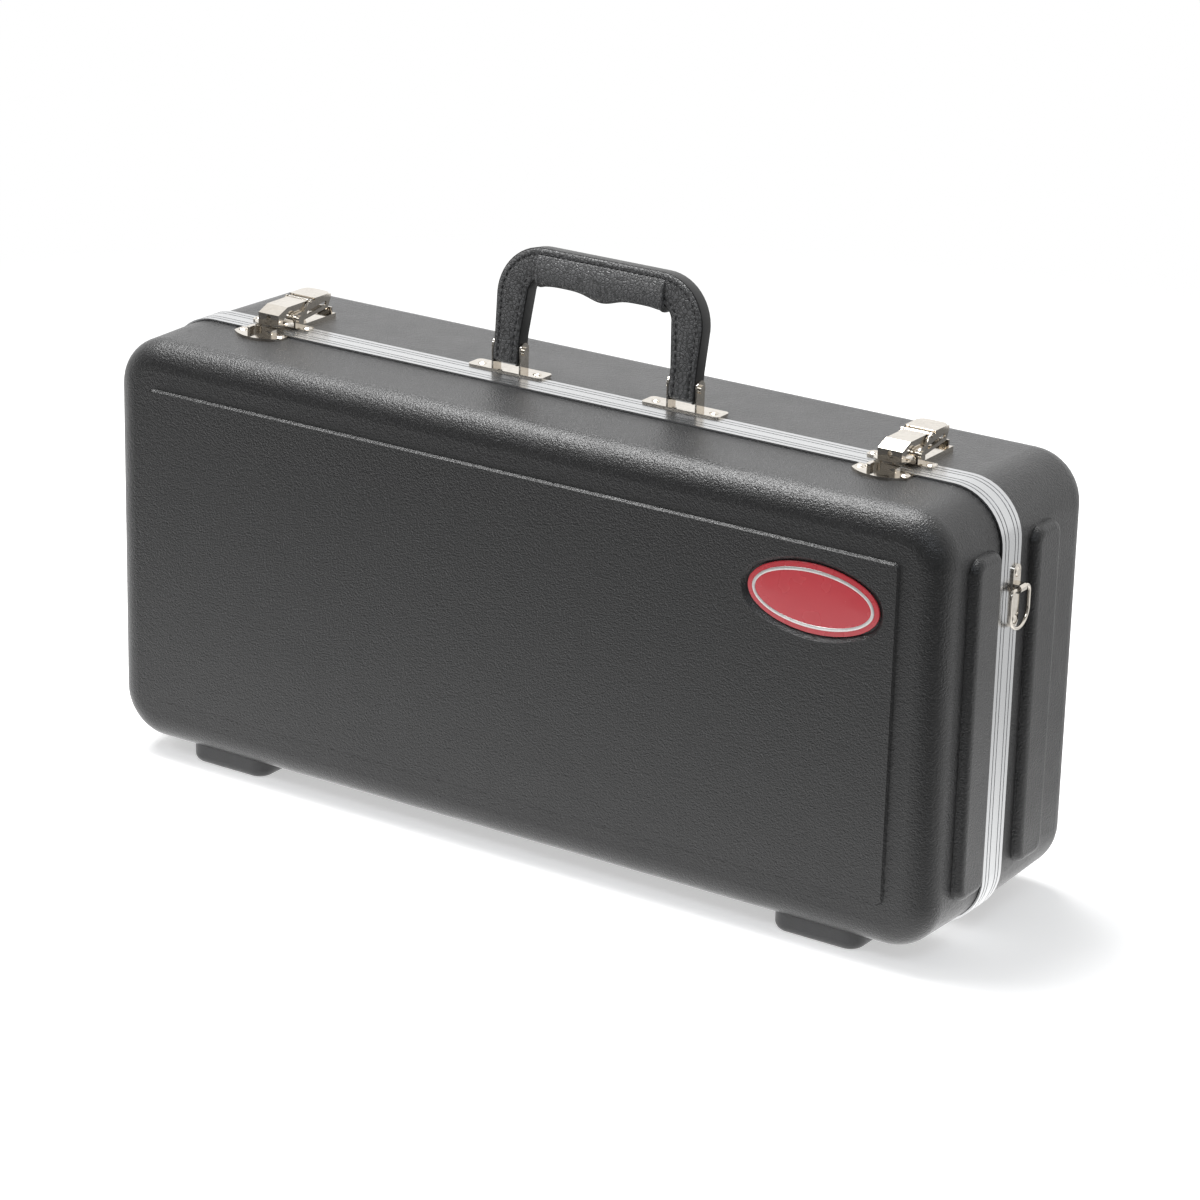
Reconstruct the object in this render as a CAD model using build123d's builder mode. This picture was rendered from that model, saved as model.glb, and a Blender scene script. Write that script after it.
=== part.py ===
"""A trumpet case: two moulded shells, each with an aluminium rim, hinged along the bottom.

Millimetres. X runs along the case, +Y towards its back and +Z up. The case stands on its feet,
as it is carried, with the origin on the floor under the middle of its depth. The front half is
the lid. The back half, or base, carries the handle, the latches and the instrument.
"""

import os
from math import atan2, cos, degrees, hypot, radians, sin, sqrt, tan

from build123d import *

# Case size, measured over the aluminium rims
case_length = 560.0
case_height = 251.5
corner_radius = 31.5
lid_depth = 69.0
base_depth = 93.5
foot_stand = 8.5

# Moulded shells
wall = 3.0
draft = 1.2
face_radius = 16.0
panel_margin = 29.0
panel_rise = 1.8
panel_slope = 32.0
panel_corner = 4.0
bumper_length = 196.0
bumper_width = 30.0
bumper_rise = 5.5
bumper_corner = 9.0
bumper_edge = 4.6
bumper_slope = 18.0
lid_bumper_offset = 28.0
base_bumper_offset = 38.0

# Aluminium rims: an outer lip over the shell, a channel for its edge and an inner lip
lip = 1.0
rim_width = 10.5
inner_lip = 1.2
inner_lip_width = 8.0
lid_web = 1.8
base_web = 4.2
tongue = 1.2
tongue_length = 2.0
tongue_clearance = 0.6
flute_width = 0.8
flute_depth = 0.4
flute_places = (3.6, 7.0)
edge_gap = 0.2

# Lining
lining_inset = 6.8
lining_drop = 3.0
pocket_floor = 12.0
lid_pocket_margin = 20.0
lid_pocket_floor = 15.0
soft_radius = 9.0
bell_half = 64.0
neck_half = 34.0
valve_half = 97.0
tail_half = 40.0
bell_end_margin = 18.0
bell_length = 66.0
neck_taper = 84.0
valve_start = -46.0
valve_end = 66.0
tail_end_margin = 30.0
mouthpiece_radius = 13.5
mouthpiece_depth = 42.0
compartment_length = 150.0
compartment_width = 48.0
compartment_depth = 55.0
compartment_end_margin = 29.0
compartment_low_margin = 17.75
compartment_centre = (
    case_length / 2 - compartment_end_margin - compartment_length / 2,
    compartment_low_margin + (compartment_width - case_height) / 2,
)
mouthpiece_spacing = 40.0
mouthpiece_shift = 44.0
mouthpiece_margin = 41.75
board = 3.0
board_gap = 0.6
board_ledge = 5.0

# Feet
foot_length = 56.0
foot_width = 32.0
foot_spacing = case_length - 154.0
foot_corner = 10.0
foot_edge = 5.0
lid_foot_offset = 42.0
base_foot_offset = 66.0

# Rivets
rivet_radius = 1.6
rivet_head = 2.9
rivet_head_height = 0.9
rivet_flat = 0.9
rivet_tail = 2.5
rivet_seat = 0.08
rivet_tail_height = 1.1
rivet_clearance = 0.03

# Sheet metal and pins
plate = 1.2
pin_clearance = 0.05
fixed_clearance = 0.02

# Hinges
hinge_spacing = 220.0
hinge_length = 62.0
hinge_leaf = 9.5
hinge_rivet_inset = 8.0
knuckle_radius = 2.5
hinge_pin_radius = 1.3
knuckle_count = 5
knuckle_gap = 0.3
knuckle_lowering = 0.1

# Handle
handle_shift = 7.5
handle_spacing = 118.0
handle_set_back = 12.4
handle_tilt = 7.5
handle_plate_length = 51.0
handle_plate_width = 13.0
handle_rivet_spacing = 38.0
ear_height = 18.0
ear_width = 8.0
handle_pivot_height = 13.0
handle_pin_radius = 1.5
leg_width = 16.6
leg_spread = 1.0
leg_gather = 2.4
leg_depth = 11.0
leg_edge = 2.0
leg_foot = 4.6
leg_play = 0.5
handle_rise = 74.0
bar_height = 17.0
handle_corner = 29.0
handle_inner_corner = 10.0
strap = 2.0
strap_depth = 7.0
grip_length = 85.0
grip_depth = 15.4
grip_top = 70.4
grip_ridge_radius = 18.0
grip_hollow_drop = 52.7
grip_hollow = 27.0
grip_ridge_drop = 48.2
grip_edge = 1.6

# Latches
latch_spacing = case_length - 143.0
latch_wing = 41.0
latch_front = 1.2
latch_wing_depth = 8.6
latch_body = 21.6
latch_length = 42.0
latch_ear_depth = 8.0
latch_pivot = (7.0, 5.0)
hasp_pivot = (20.5, 11.9)
latch_pin_radius = 1.3
lever_inside = 8.2
lever_tail = 40.0
lever_tab_step = 0.9
lever_tab_gap = 1.2
lever_slot_width = 2.2
lever_slot_start = (17.0, 6.6)
lever_slot_end = (33.5, 8.9)
lever_tab_corner = 5.0
cheek_low = 2.4
cheek_top = 8.4
cheek_end = 3.3
hasp_half = 7.4
hasp_top = 13.2
hasp_nose = 8.6
hook_height = 3.6
hook_reach = 14.0
hook_half = 9.5
knuckle_roll = 1.9
latch_rear_rivet = 34.0
strike_half = 17.0
strike_reach = 26.0
strike_shoulder = 19.0
strike_rivet_offset = 15.2
catch_half = 9.0
catch_height = 3.0
catch_length = 8.0

# Strap rings at the ends
ring_bracket_height = 36.0
ring_bracket_width = 8.2
ring_bracket_offset = 5.4
ring_bracket_centre = 199.5
ring_wire = 1.1
ring_half_width = 10.0
ring_drop = 22.5
ring_loop_width = 6.5
ring_play = 0.1
ring_pivot_gap = 2.4
ring_pivot_rise = 5.0
ring_rivet_spacing = 27.0

# Badge
badge_length = 81.0
badge_height = 39.0
badge_end_margin = 80.5
badge_top_margin = 59.4
badge_thickness = 1.8
badge_recess = 2.6
badge_border = 0.5
badge_end_radius = 13.0
badge_slope = 45.0

# Worked out from the sizes above
parting_y = (lid_depth - base_depth) / 2
middle_z = foot_stand + case_height / 2
top_z = foot_stand + case_height
badge_centre = (case_length / 2 - badge_end_margin, top_z - badge_top_margin)
end_x = case_length / 2
shell_face_depth = lid_depth - panel_rise
draft_slope = tan(radians(draft))
hinge_z = foot_stand - knuckle_radius - knuckle_lowering
channel = lip + wall + edge_gap
rim_grip = channel + inner_lip
strike_z = top_z - (lip + (rim_width + edge_gap) * draft_slope)
SIDES = {"left": -1, "right": 1}
LID, BASE = 1, -1


def across(depth):
    """The plane parallel to the parting plane, a distance in front of it."""
    return Plane.XZ.offset(depth - parting_y)


def shell_inset(distance):
    """How far the moulded side lies inside the rim's outer face, at a distance from the parting."""
    return lip + distance * draft_slope


def rivet_spot(x, offset, height, direction):
    """A plane at a rivet: its Z axis points out of the case."""
    return Plane(origin=(x, parting_y + offset, height), z_dir=direction)


def rim_outline(inset):
    """Adds the case's rounded outline, drawn in by an inset, to the sketch that is open."""
    with Locations((0, middle_z)):
        RectangleRounded(case_length - 2 * inset, case_height - 2 * inset, corner_radius - inset)


def moulded_block(side, start, depth, inset, edge):
    """A drafted block from a start distance to a depth, with its far face's edge rounded."""
    with BuildPart() as block:
        with BuildSketch(across(side * start)):
            rim_outline(inset + shell_inset(start))
        extrude(amount=side * (depth - start), taper=draft)
        far_face = block.faces().sort_by(Axis.Y)[0 if side == LID else -1]
        fillet(far_face.edges(), radius=edge)
    return block.part


def bumper_block(side, offset, end):
    """A raised upright bumper on one end of a shell, rounded at its top and bottom."""
    face_x = end * (end_x - shell_inset(offset + bumper_width / 2))
    face = Plane(origin=(face_x, 0, 0), x_dir=(0, 1, 0), z_dir=(end, 0, 0))
    with BuildPart() as bumper:
        with BuildSketch(face.offset(-wall / 2)):
            with Locations((parting_y - side * offset, end * middle_z)):
                RectangleRounded(bumper_width, bumper_length, bumper_corner)
        extrude(amount=bumper_rise + wall / 2, taper=bumper_slope)
        fillet(bumper.faces().sort_by(Axis.X)[-1 if end > 0 else 0].edges(), radius=bumper_edge)
    return bumper.part


def cut_rivet_holes(spots, depth):
    """Cuts a round hole inwards at each rivet plane of the part that is open."""
    with Locations(*[spot.offset(plate / 2 - depth / 2) for spot in spots]):
        Cylinder(rivet_radius + rivet_clearance, depth + plate, mode=Mode.SUBTRACT)


def rivets(spots, grip):
    """A rivet at each plane: a domed head, a shank through the grip and a flat tail."""
    with BuildPart() as one:
        with BuildSketch(Plane.XZ):
            with BuildLine():
                tail = -grip - rivet_seat
                tail_end = tail - rivet_tail_height
                crown = ThreePointArc(
                    (rivet_head, 0), (rivet_head * 0.8, rivet_head_height * 0.62), (rivet_flat, rivet_head_height)
                )
                Polyline(
                    crown @ 1, (0, rivet_head_height), (0, tail_end), (rivet_tail, tail_end),
                    (rivet_tail, tail), (rivet_radius, tail), (rivet_radius, 0), crown @ 0,
                )
            make_face()
        revolve(axis=Axis.Z)
    with BuildPart() as group:
        with Locations(*spots):
            add(one.part)
    return group.part


def latch_rivet_spots():
    """Where the latch base plates are riveted to the base, at their wings and at their tails."""
    spots = []
    for end in SIDES.values():
        centre = end * latch_spacing / 2
        for wing in (-1, 1):
            spots.append(rivet_spot(centre + wing * (latch_wing / 2 - 2.9), latch_front + 4.4, top_z, (0, 0, 1)))
    return spots


def latch_tail_spots():
    return [
        rivet_spot(end * latch_spacing / 2, latch_rear_rivet, top_z, (0, 0, 1))
        for end in SIDES.values()
    ]


def strike_rivet_spots():
    return [
        rivet_spot(end * latch_spacing / 2 + wing * (strike_half - 3.4), -strike_rivet_offset, strike_z, (0, 0, 1))
        for end in SIDES.values()
        for wing in (-1, 1)
    ]


def handle_rivet_spots():
    return [
        rivet_spot(
            handle_shift + end * handle_spacing / 2 + wing * handle_rivet_spacing / 2,
            handle_set_back, top_z, (0, 0, 1),
        )
        for end in SIDES.values()
        for wing in (-1, 1)
    ]


def hinge_rivet_spots(side):
    return [
        rivet_spot(
            end * hinge_spacing / 2 + wing * (hinge_length / 2 - hinge_rivet_inset), -side * (hinge_leaf - 3.4),
            foot_stand, (0, 0, -1),
        )
        for end in SIDES.values()
        for wing in (-1, 1)
    ]


def ring_rivet_spots(end):
    return [
        rivet_spot(end * end_x, ring_bracket_offset, ring_bracket_centre + wing * ring_rivet_spacing / 2, (end, 0, 0))
        for wing in (-1, 1)
    ]


def foot_rivet_spots(side):
    offset = lid_foot_offset if side == LID else base_foot_offset
    height = foot_stand + shell_inset(offset)
    return [rivet_spot(end * foot_spacing / 2, -side * offset, height, (0, 0, -1)) for end in SIDES.values()]


def through_shell():
    """The depth of a rivet hole that passes a rim's lips and a shell's wall, but not the lining."""
    return lip + wall + inner_lip + 1.4


def oval_sketch(half_length, half_height, end_radius):
    """An oval of four tangent arcs, so that it can be drawn out with a slope."""
    run = half_length - end_radius
    side_radius = (run**2 + half_height**2 - end_radius**2) / (2 * (half_height - end_radius))
    drop = side_radius - half_height
    share = end_radius / (side_radius - end_radius)
    meet = (run * (1 + share), drop * share)
    with BuildSketch() as oval:
        with BuildLine():
            for turn in (1, -1):
                ThreePointArc(
                    (-turn * meet[0], turn * meet[1]), (0, turn * half_height), (turn * meet[0], turn * meet[1])
                )
                ThreePointArc(
                    (turn * meet[0], turn * meet[1]), (turn * half_length, 0), (turn * meet[0], -turn * meet[1])
                )
        make_face()
    return oval.sketch


def badge_hollow():
    """The recess that the badge sits in: an oval with sloped walls, open to the front."""
    floor = across(lid_depth - badge_recess)
    with BuildPart() as hollow:
        with BuildSketch(floor):
            with Locations(badge_centre):
                add(oval_sketch(badge_length / 2 + badge_border, badge_height / 2 + badge_border, badge_end_radius))
        extrude(amount=badge_recess + wall, taper=-badge_slope)
    return hollow.part


def make_shell(side):
    """One moulded half: drafted walls, a rounded face and a bumper on each end."""
    depth = shell_face_depth if side == LID else base_depth
    edge = lid_web if side == LID else base_web
    offset = lid_bumper_offset if side == LID else base_bumper_offset
    start = edge + edge_gap
    inner = moulded_block(side, start, depth - wall, wall, face_radius - wall)
    with BuildPart() as shell:
        add(moulded_block(side, start, depth, 0, face_radius))
        for end in SIDES.values():
            add(bumper_block(side, offset, end))
        if side == LID:
            with BuildSketch(across(shell_face_depth)):
                with Locations((0, middle_z)):
                    RectangleRounded(
                        case_length - 2 * panel_margin, case_height - 2 * panel_margin, panel_corner
                    )
            extrude(amount=panel_rise, taper=panel_slope)
            add(badge_hollow(), mode=Mode.SUBTRACT)
        add(inner, mode=Mode.SUBTRACT)
        cut_rivet_holes(foot_rivet_spots(side), through_shell())
        cut_rivet_holes(hinge_rivet_spots(side), through_shell())
        if side == LID:
            cut_rivet_holes(strike_rivet_spots(), through_shell())
        else:
            for spots in (latch_rivet_spots(), latch_tail_spots(), handle_rivet_spots()):
                cut_rivet_holes(spots, through_shell())
            for end in SIDES.values():
                cut_rivet_holes(ring_rivet_spots(end), through_shell())
    return shell.part


def make_rim(side):
    """An aluminium rim: outer lip, inner lip, web, and a tongue on the lid or a groove on the base."""
    web = lid_web if side == LID else base_web
    inner = channel + inner_lip
    with BuildPart() as rim:
        with BuildSketch(across(0)):
            rim_outline(0)
            with Locations((0, middle_z)):
                RectangleRounded(
                    case_length - 2 * inner, case_height - 2 * inner, corner_radius - inner, mode=Mode.SUBTRACT
                )
        extrude(amount=side * web)
        with BuildSketch(across(side * web)):
            rim_outline(0)
            with Locations((0, middle_z)):
                RectangleRounded(case_length - 2 * lip, case_height - 2 * lip, corner_radius - lip, mode=Mode.SUBTRACT)
        extrude(amount=side * (rim_width - web))
        with BuildSketch(across(side * web)):
            rim_outline(channel)
            with Locations((0, middle_z)):
                RectangleRounded(
                    case_length - 2 * inner, case_height - 2 * inner, corner_radius - inner, mode=Mode.SUBTRACT
                )
        extrude(amount=side * (inner_lip_width - web))
        add(tongue_or_groove(side), mode=Mode.ADD if side == LID else Mode.SUBTRACT)
        for place in flute_places:
            with BuildSketch(across(side * (place - flute_width / 2))):
                rim_outline(0)
                with Locations((0, middle_z)):
                    RectangleRounded(
                        case_length - 2 * flute_depth, case_height - 2 * flute_depth,
                        corner_radius - flute_depth, mode=Mode.SUBTRACT,
                    )
            extrude(amount=side * flute_width, mode=Mode.SUBTRACT)
        cut_rivet_holes(hinge_rivet_spots(side), through_shell())
        if side == BASE:
            cut_rivet_holes(latch_rivet_spots(), through_shell())
            for end in SIDES.values():
                cut_rivet_holes(ring_rivet_spots(end), through_shell())
    return rim.part


def tongue_or_groove(side):
    """The lid rim's tongue, or the groove in the base rim that it enters."""
    half = tongue / 2 + (0 if side == LID else tongue_clearance)
    reach = tongue_length + (0 if side == LID else edge_gap)
    centre = (lip + wall + inner_lip) / 2
    with BuildPart() as band:
        with BuildSketch(across(0)):
            rim_outline(centre - half)
            with Locations((0, middle_z)):
                inner = centre + half
                RectangleRounded(
                    case_length - 2 * inner, case_height - 2 * inner, corner_radius - inner, mode=Mode.SUBTRACT
                )
        extrude(amount=-reach)
    return band.part


def make_feet(side):
    """Two moulded feet, shaped to the drafted underside and counterbored for their rivets."""
    offset = lid_foot_offset if side == LID else base_foot_offset
    depth = shell_face_depth if side == LID else base_depth
    seat = foot_stand + shell_inset(offset + foot_width / 2) + 4
    with BuildPart() as feet:
        with BuildSketch(Plane.XY):
            with Locations(*[(end * foot_spacing / 2, parting_y - side * offset) for end in SIDES.values()]):
                RectangleRounded(foot_length, foot_width, foot_corner)
        extrude(amount=seat)
        fillet(feet.faces().group_by(Axis.Z)[0].edges(), radius=foot_edge)
        add(moulded_block(side, 0, depth, 0, face_radius), mode=Mode.SUBTRACT)
        floor = foot_stand + shell_inset(offset) - foot_stand / 3
        with Locations(*[(end * foot_spacing / 2, parting_y - side * offset, 0) for end in SIDES.values()]):
            Cylinder(rivet_radius + rivet_clearance, seat * 2, mode=Mode.SUBTRACT)
            Cylinder(rivet_head + 0.6, floor * 2, mode=Mode.SUBTRACT)
    return feet.part


def make_foot_rivets(side):
    """Rivets in the feet's counterbores."""
    offset = lid_foot_offset if side == LID else base_foot_offset
    height = foot_stand + shell_inset(offset)
    spots = [
        rivet_spot(end * foot_spacing / 2, -side * offset, height - foot_stand / 3, (0, 0, -1))
        for end in SIDES.values()
    ]
    return rivets(spots, foot_stand / 3 + wall)


def make_hinge_leaf(side, end):
    """One leaf of a hinge, with its share of the knuckles."""
    centre = end * hinge_spacing / 2
    pitch = hinge_length / knuckle_count
    first = 0 if side == BASE else 1
    places = range(first, knuckle_count, 2)
    with BuildPart() as leaf:
        with Locations((centre, parting_y - side * hinge_leaf / 2, foot_stand - plate / 2)):
            Box(hinge_length, hinge_leaf, plate)
        swing = knuckle_radius + knuckle_gap
        with Locations((centre, parting_y, hinge_z)):
            Cylinder(swing, hinge_length + 2, rotation=(0, 90, 0), mode=Mode.SUBTRACT)
        for place in places:
            with Locations((centre - hinge_length / 2 + pitch * (place + 0.5), parting_y, hinge_z)):
                Cylinder(knuckle_radius, pitch - knuckle_gap, rotation=(0, 90, 0))
                with Locations((0, -side * swing / 2, foot_stand - plate / 2 - hinge_z)):
                    Box(pitch - knuckle_gap, swing, plate)
        with Locations((centre, parting_y, hinge_z)):
            Cylinder(hinge_pin_radius + pin_clearance, hinge_length + 2, rotation=(0, 90, 0), mode=Mode.SUBTRACT)
        spots = [spot for spot in hinge_rivet_spots(side) if spot.origin.X * end > 0]
        cut_rivet_holes([spot.offset(plate) for spot in spots], plate * 3)
    return leaf.part


def make_hinge_pin(end):
    with BuildPart() as pin:
        with Locations((end * hinge_spacing / 2, parting_y, hinge_z)):
            Cylinder(hinge_pin_radius, hinge_length + 1.2, rotation=(0, 90, 0))
        chamfer(pin.edges().filter_by(GeomType.CIRCLE), length=0.3)
    return pin.part


def instrument_outline():
    """The trumpet's pocket: bell at the left, valves in the middle, tuning slide at the right."""
    bell_start = bell_end_margin - case_length / 2
    bell_end = bell_start + bell_length
    tail_end = case_length / 2 - tail_end_margin
    upper = [
        (bell_start, bell_half), (bell_end, bell_half), (bell_end + neck_taper, neck_half),
        (valve_start, neck_half), (valve_start, valve_half), (valve_end, valve_half),
        (valve_end, tail_half), (tail_end, tail_half),
    ]
    lower = [(x, -z) for x, z in reversed(upper)]
    with BuildSketch() as pocket:
        with BuildLine():
            Polyline(*upper, *lower, close=True)
        make_face()
        fillet(pocket.vertices(), radius=soft_radius)
    return pocket.sketch


def make_base_lining():
    """The padded base insert, cut for the instrument, two mouthpieces and an accessory compartment."""
    inset = lining_inset - lip
    floor = base_depth - wall - pocket_floor
    front = across(-lining_drop)
    with BuildPart() as lining:
        add(moulded_block(BASE, lining_drop, base_depth - wall, inset, face_radius - wall))
        with BuildSketch(front):
            with Locations((0, middle_z)):
                add(instrument_outline())
        extrude(amount=-(floor - lining_drop), mode=Mode.SUBTRACT)
        cx, cz = compartment_centre
        high = middle_z + case_height / 2 - mouthpiece_margin
        for end in SIDES.values():
            with Locations(front * Location((cx - mouthpiece_shift + end * mouthpiece_spacing / 2, high))):
                Cylinder(mouthpiece_radius, 2 * mouthpiece_depth, mode=Mode.SUBTRACT)
        with BuildSketch(front):
            with Locations((cx, middle_z + cz)):
                RectangleRounded(compartment_length, compartment_width, soft_radius)
        extrude(amount=-compartment_depth, mode=Mode.SUBTRACT)
        with BuildSketch(front):
            with Locations((cx, middle_z + cz)):
                Rectangle(compartment_length + 2 * board_ledge, compartment_width + 2 * board_ledge)
        extrude(amount=-(board + board_gap), mode=Mode.SUBTRACT)
    return lining.part


def board_axis_location():
    """The accessory lid's hinge line, along the upper edge of its recess."""
    cx, cz = compartment_centre
    high = middle_z + cz + compartment_width / 2 + board_ledge - board_gap - board / 2
    return Location((cx, parting_y + lining_drop + board / 2, high))


def make_compartment_lid():
    """The lining's hinged accessory lid: a covered board with a rounded hinge edge."""
    cx, cz = compartment_centre
    hinge = board_axis_location().position
    length = compartment_length + 2 * (board_ledge - board_gap)
    low = middle_z + cz - compartment_width / 2 - board_ledge + board_gap
    with BuildPart() as lid:
        with Locations((cx, hinge.Y, (hinge.Z + low) / 2)):
            Box(length, board, hinge.Z - low)
        with Locations(board_axis_location()):
            Cylinder(board / 2, length, rotation=(0, 90, 0))
    return lid.part


def make_lid_lining():
    """The lid's padding, hollowed over the instrument."""
    inset = lining_inset - lip
    floor = shell_face_depth - wall - lid_pocket_floor
    with BuildPart() as lining:
        add(moulded_block(LID, lining_drop, shell_face_depth - wall, inset, face_radius - wall))
        with BuildSketch(across(lining_drop)):
            with Locations((0, middle_z)):
                margin = lining_inset + lid_pocket_margin
                RectangleRounded(case_length - 2 * margin, case_height - 2 * margin, 2 * soft_radius)
            cx, cz = compartment_centre
            with Locations((cx, middle_z + cz)):
                Rectangle(compartment_length + 4 * board_ledge, compartment_width + 3 * board_ledge)
        extrude(amount=floor - lining_drop, mode=Mode.SUBTRACT)
    return lining.part


def make_badge():
    """A plain oval badge with a raised border and a crowned face."""
    with BuildPart() as badge:
        with BuildSketch(across(lid_depth - badge_recess)):
            with Locations(badge_centre):
                add(oval_sketch(badge_length / 2, badge_height / 2, badge_end_radius - badge_border))
        extrude(amount=badge_thickness)
        fillet(badge.faces().sort_by(Axis.Y)[0].edges(), radius=0.8)
    return badge.part


def on_top(x, offset, height=0.0):
    """A place on the case's top: a distance behind the parting plane and above the rims."""
    return (x, parting_y + offset, top_z + height)


def side_profile(x):
    """An upright plane across the case at x: its axes are +Y from the parting and +Z from the top."""
    return Plane(origin=(x, parting_y, top_z), x_dir=(0, 1, 0), z_dir=(1, 0, 0))


def make_latch_base(end):
    """The latch's fixed plate: riveted wings, a long tongue with an upturned tail, and two ears."""
    centre = end * latch_spacing / 2
    pivot_y, pivot_z = latch_pivot
    with BuildPart() as base:
        with BuildSketch(Plane.XY.offset(top_z)) as outline:
            with Locations(on_top(centre, latch_front + latch_wing_depth / 2)[:2]):
                RectangleRounded(latch_wing, latch_wing_depth, 2.6)
            tongue_length = latch_length - latch_front - latch_wing_depth / 2
            with Locations(on_top(centre, latch_length - tongue_length / 2)[:2]):
                Rectangle(latch_body, tongue_length)
        extrude(amount=plate)
        packer = latch_length - rim_width - edge_gap
        with BuildSketch(Plane.XY.offset(top_z)):
            with Locations(on_top(centre, latch_length - packer / 2)[:2]):
                Rectangle(latch_body, packer)
        extrude(amount=-2 * plate)
        add(moulded_block(BASE, edge_gap, base_depth, 0, face_radius), mode=Mode.SUBTRACT)
        with Locations(on_top(centre, latch_length - plate / 2, plate + 1.6)):
            Box(latch_body - 5, plate, 3.2)
        for wing in (-1, 1):
            ear = side_profile(centre + wing * (latch_body / 2 - plate / 2)).offset(-plate / 2)
            with BuildSketch(ear):
                with Locations((pivot_y, pivot_z / 2 + plate / 4)):
                    Rectangle(latch_ear_depth, pivot_z - plate / 2)
                with Locations((pivot_y, pivot_z)):
                    Circle(latch_ear_depth / 2)
                    Circle(latch_pin_radius + fixed_clearance, mode=Mode.SUBTRACT)
            extrude(amount=plate)
        spots = [spot for spot in latch_rivet_spots() + latch_tail_spots() if spot.origin.X * end > 0]
        cut_rivet_holes([spot.offset(2 * plate) for spot in spots], 4 * plate)
    return base.part


def make_latch_pin(end):
    """The lever's pivot pin, headed outside the base plate's ears."""
    y, z = latch_pivot
    return headed_pin(end * latch_spacing / 2, y, z, latch_pin_radius, latch_body / 2, 0.9)


def headed_pin(x, offset, height, radius, half, head):
    """A pin along X with a flat head past each half length."""
    with BuildPart() as pin:
        with Locations(on_top(x, offset, height)):
            Cylinder(radius, 2 * half + head, rotation=(0, 90, 0))
            for wing in (-1, 1):
                with Locations((wing * (half + head / 2 + fixed_clearance), 0, 0)):
                    Cylinder(radius + 1.0, head, rotation=(0, 90, 0))
    return pin.part


def make_latch_lever(end):
    """The lever: two cheeks from the base's pivot up to the hasp's, and a thumb tab behind them."""
    centre = end * latch_spacing / 2
    pivot_y, pivot_z = latch_pivot
    hinge_y, hinge_z_up = hasp_pivot
    tab_top = hasp_top + lever_tab_step
    flat_top = hasp_top - plate / 2
    tab_start = hinge_y + knuckle_roll + lever_tab_gap
    with BuildPart() as lever:
        for wing in (-1, 1):
            cheek = side_profile(centre + wing * (lever_inside + plate / 2)).offset(-plate / 2)
            with BuildSketch(cheek):
                with BuildLine():
                    Polyline(
                        (pivot_y, cheek_low), (lever_tail - 4, cheek_low + 3.2), (lever_tail - 1, flat_top - 1),
                        (lever_tail - 1, tab_top - plate / 2), (tab_start, tab_top - plate / 2),
                        (tab_start, flat_top), (hinge_y - 2.4, flat_top),
                        (hinge_y - 7, cheek_top), (pivot_y, cheek_top), close=True,
                    )
                make_face()
                with Locations((pivot_y, pivot_z)):
                    Circle(cheek_end)
                with Locations((hinge_y, hinge_z_up)):
                    Circle(knuckle_roll)
                with Locations((pivot_y, pivot_z)):
                    Circle(latch_pin_radius + pin_clearance, mode=Mode.SUBTRACT)
                with Locations((hinge_y, hinge_z_up)):
                    Circle(latch_pin_radius - 0.3 + fixed_clearance, mode=Mode.SUBTRACT)
                (slot_y, slot_z), (slot_end_y, slot_end_z) = lever_slot_start, lever_slot_end
                run, climb = slot_end_y - slot_y, slot_end_z - slot_z
                with Locations(Location((slot_y + run / 2, slot_z + climb / 2), degrees(atan2(climb, run)))):
                    SlotOverall(hypot(run, climb) + lever_slot_width, lever_slot_width, mode=Mode.SUBTRACT)
            extrude(amount=plate)
        with BuildSketch(Plane.XY.offset(top_z + tab_top - plate)) as tab:
            with Locations(on_top(centre, (tab_start + lever_tail) / 2)[:2]):
                Rectangle(2 * (lever_inside + plate), lever_tail - tab_start)
            fillet(tab.vertices().group_by(Axis.Y)[-1], radius=lever_tab_corner)
        extrude(amount=plate)
    return lever.part


def make_hasp_pin(end):
    """The pin that joins the hasp to the lever, flush with the lever's cheeks."""
    y, z = hasp_pivot
    with BuildPart() as pin:
        with Locations(on_top(end * latch_spacing / 2, y, z)):
            Cylinder(latch_pin_radius - 0.3, 2 * (lever_inside + plate) + 0.8, rotation=(0, 90, 0))
    return pin.part


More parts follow.
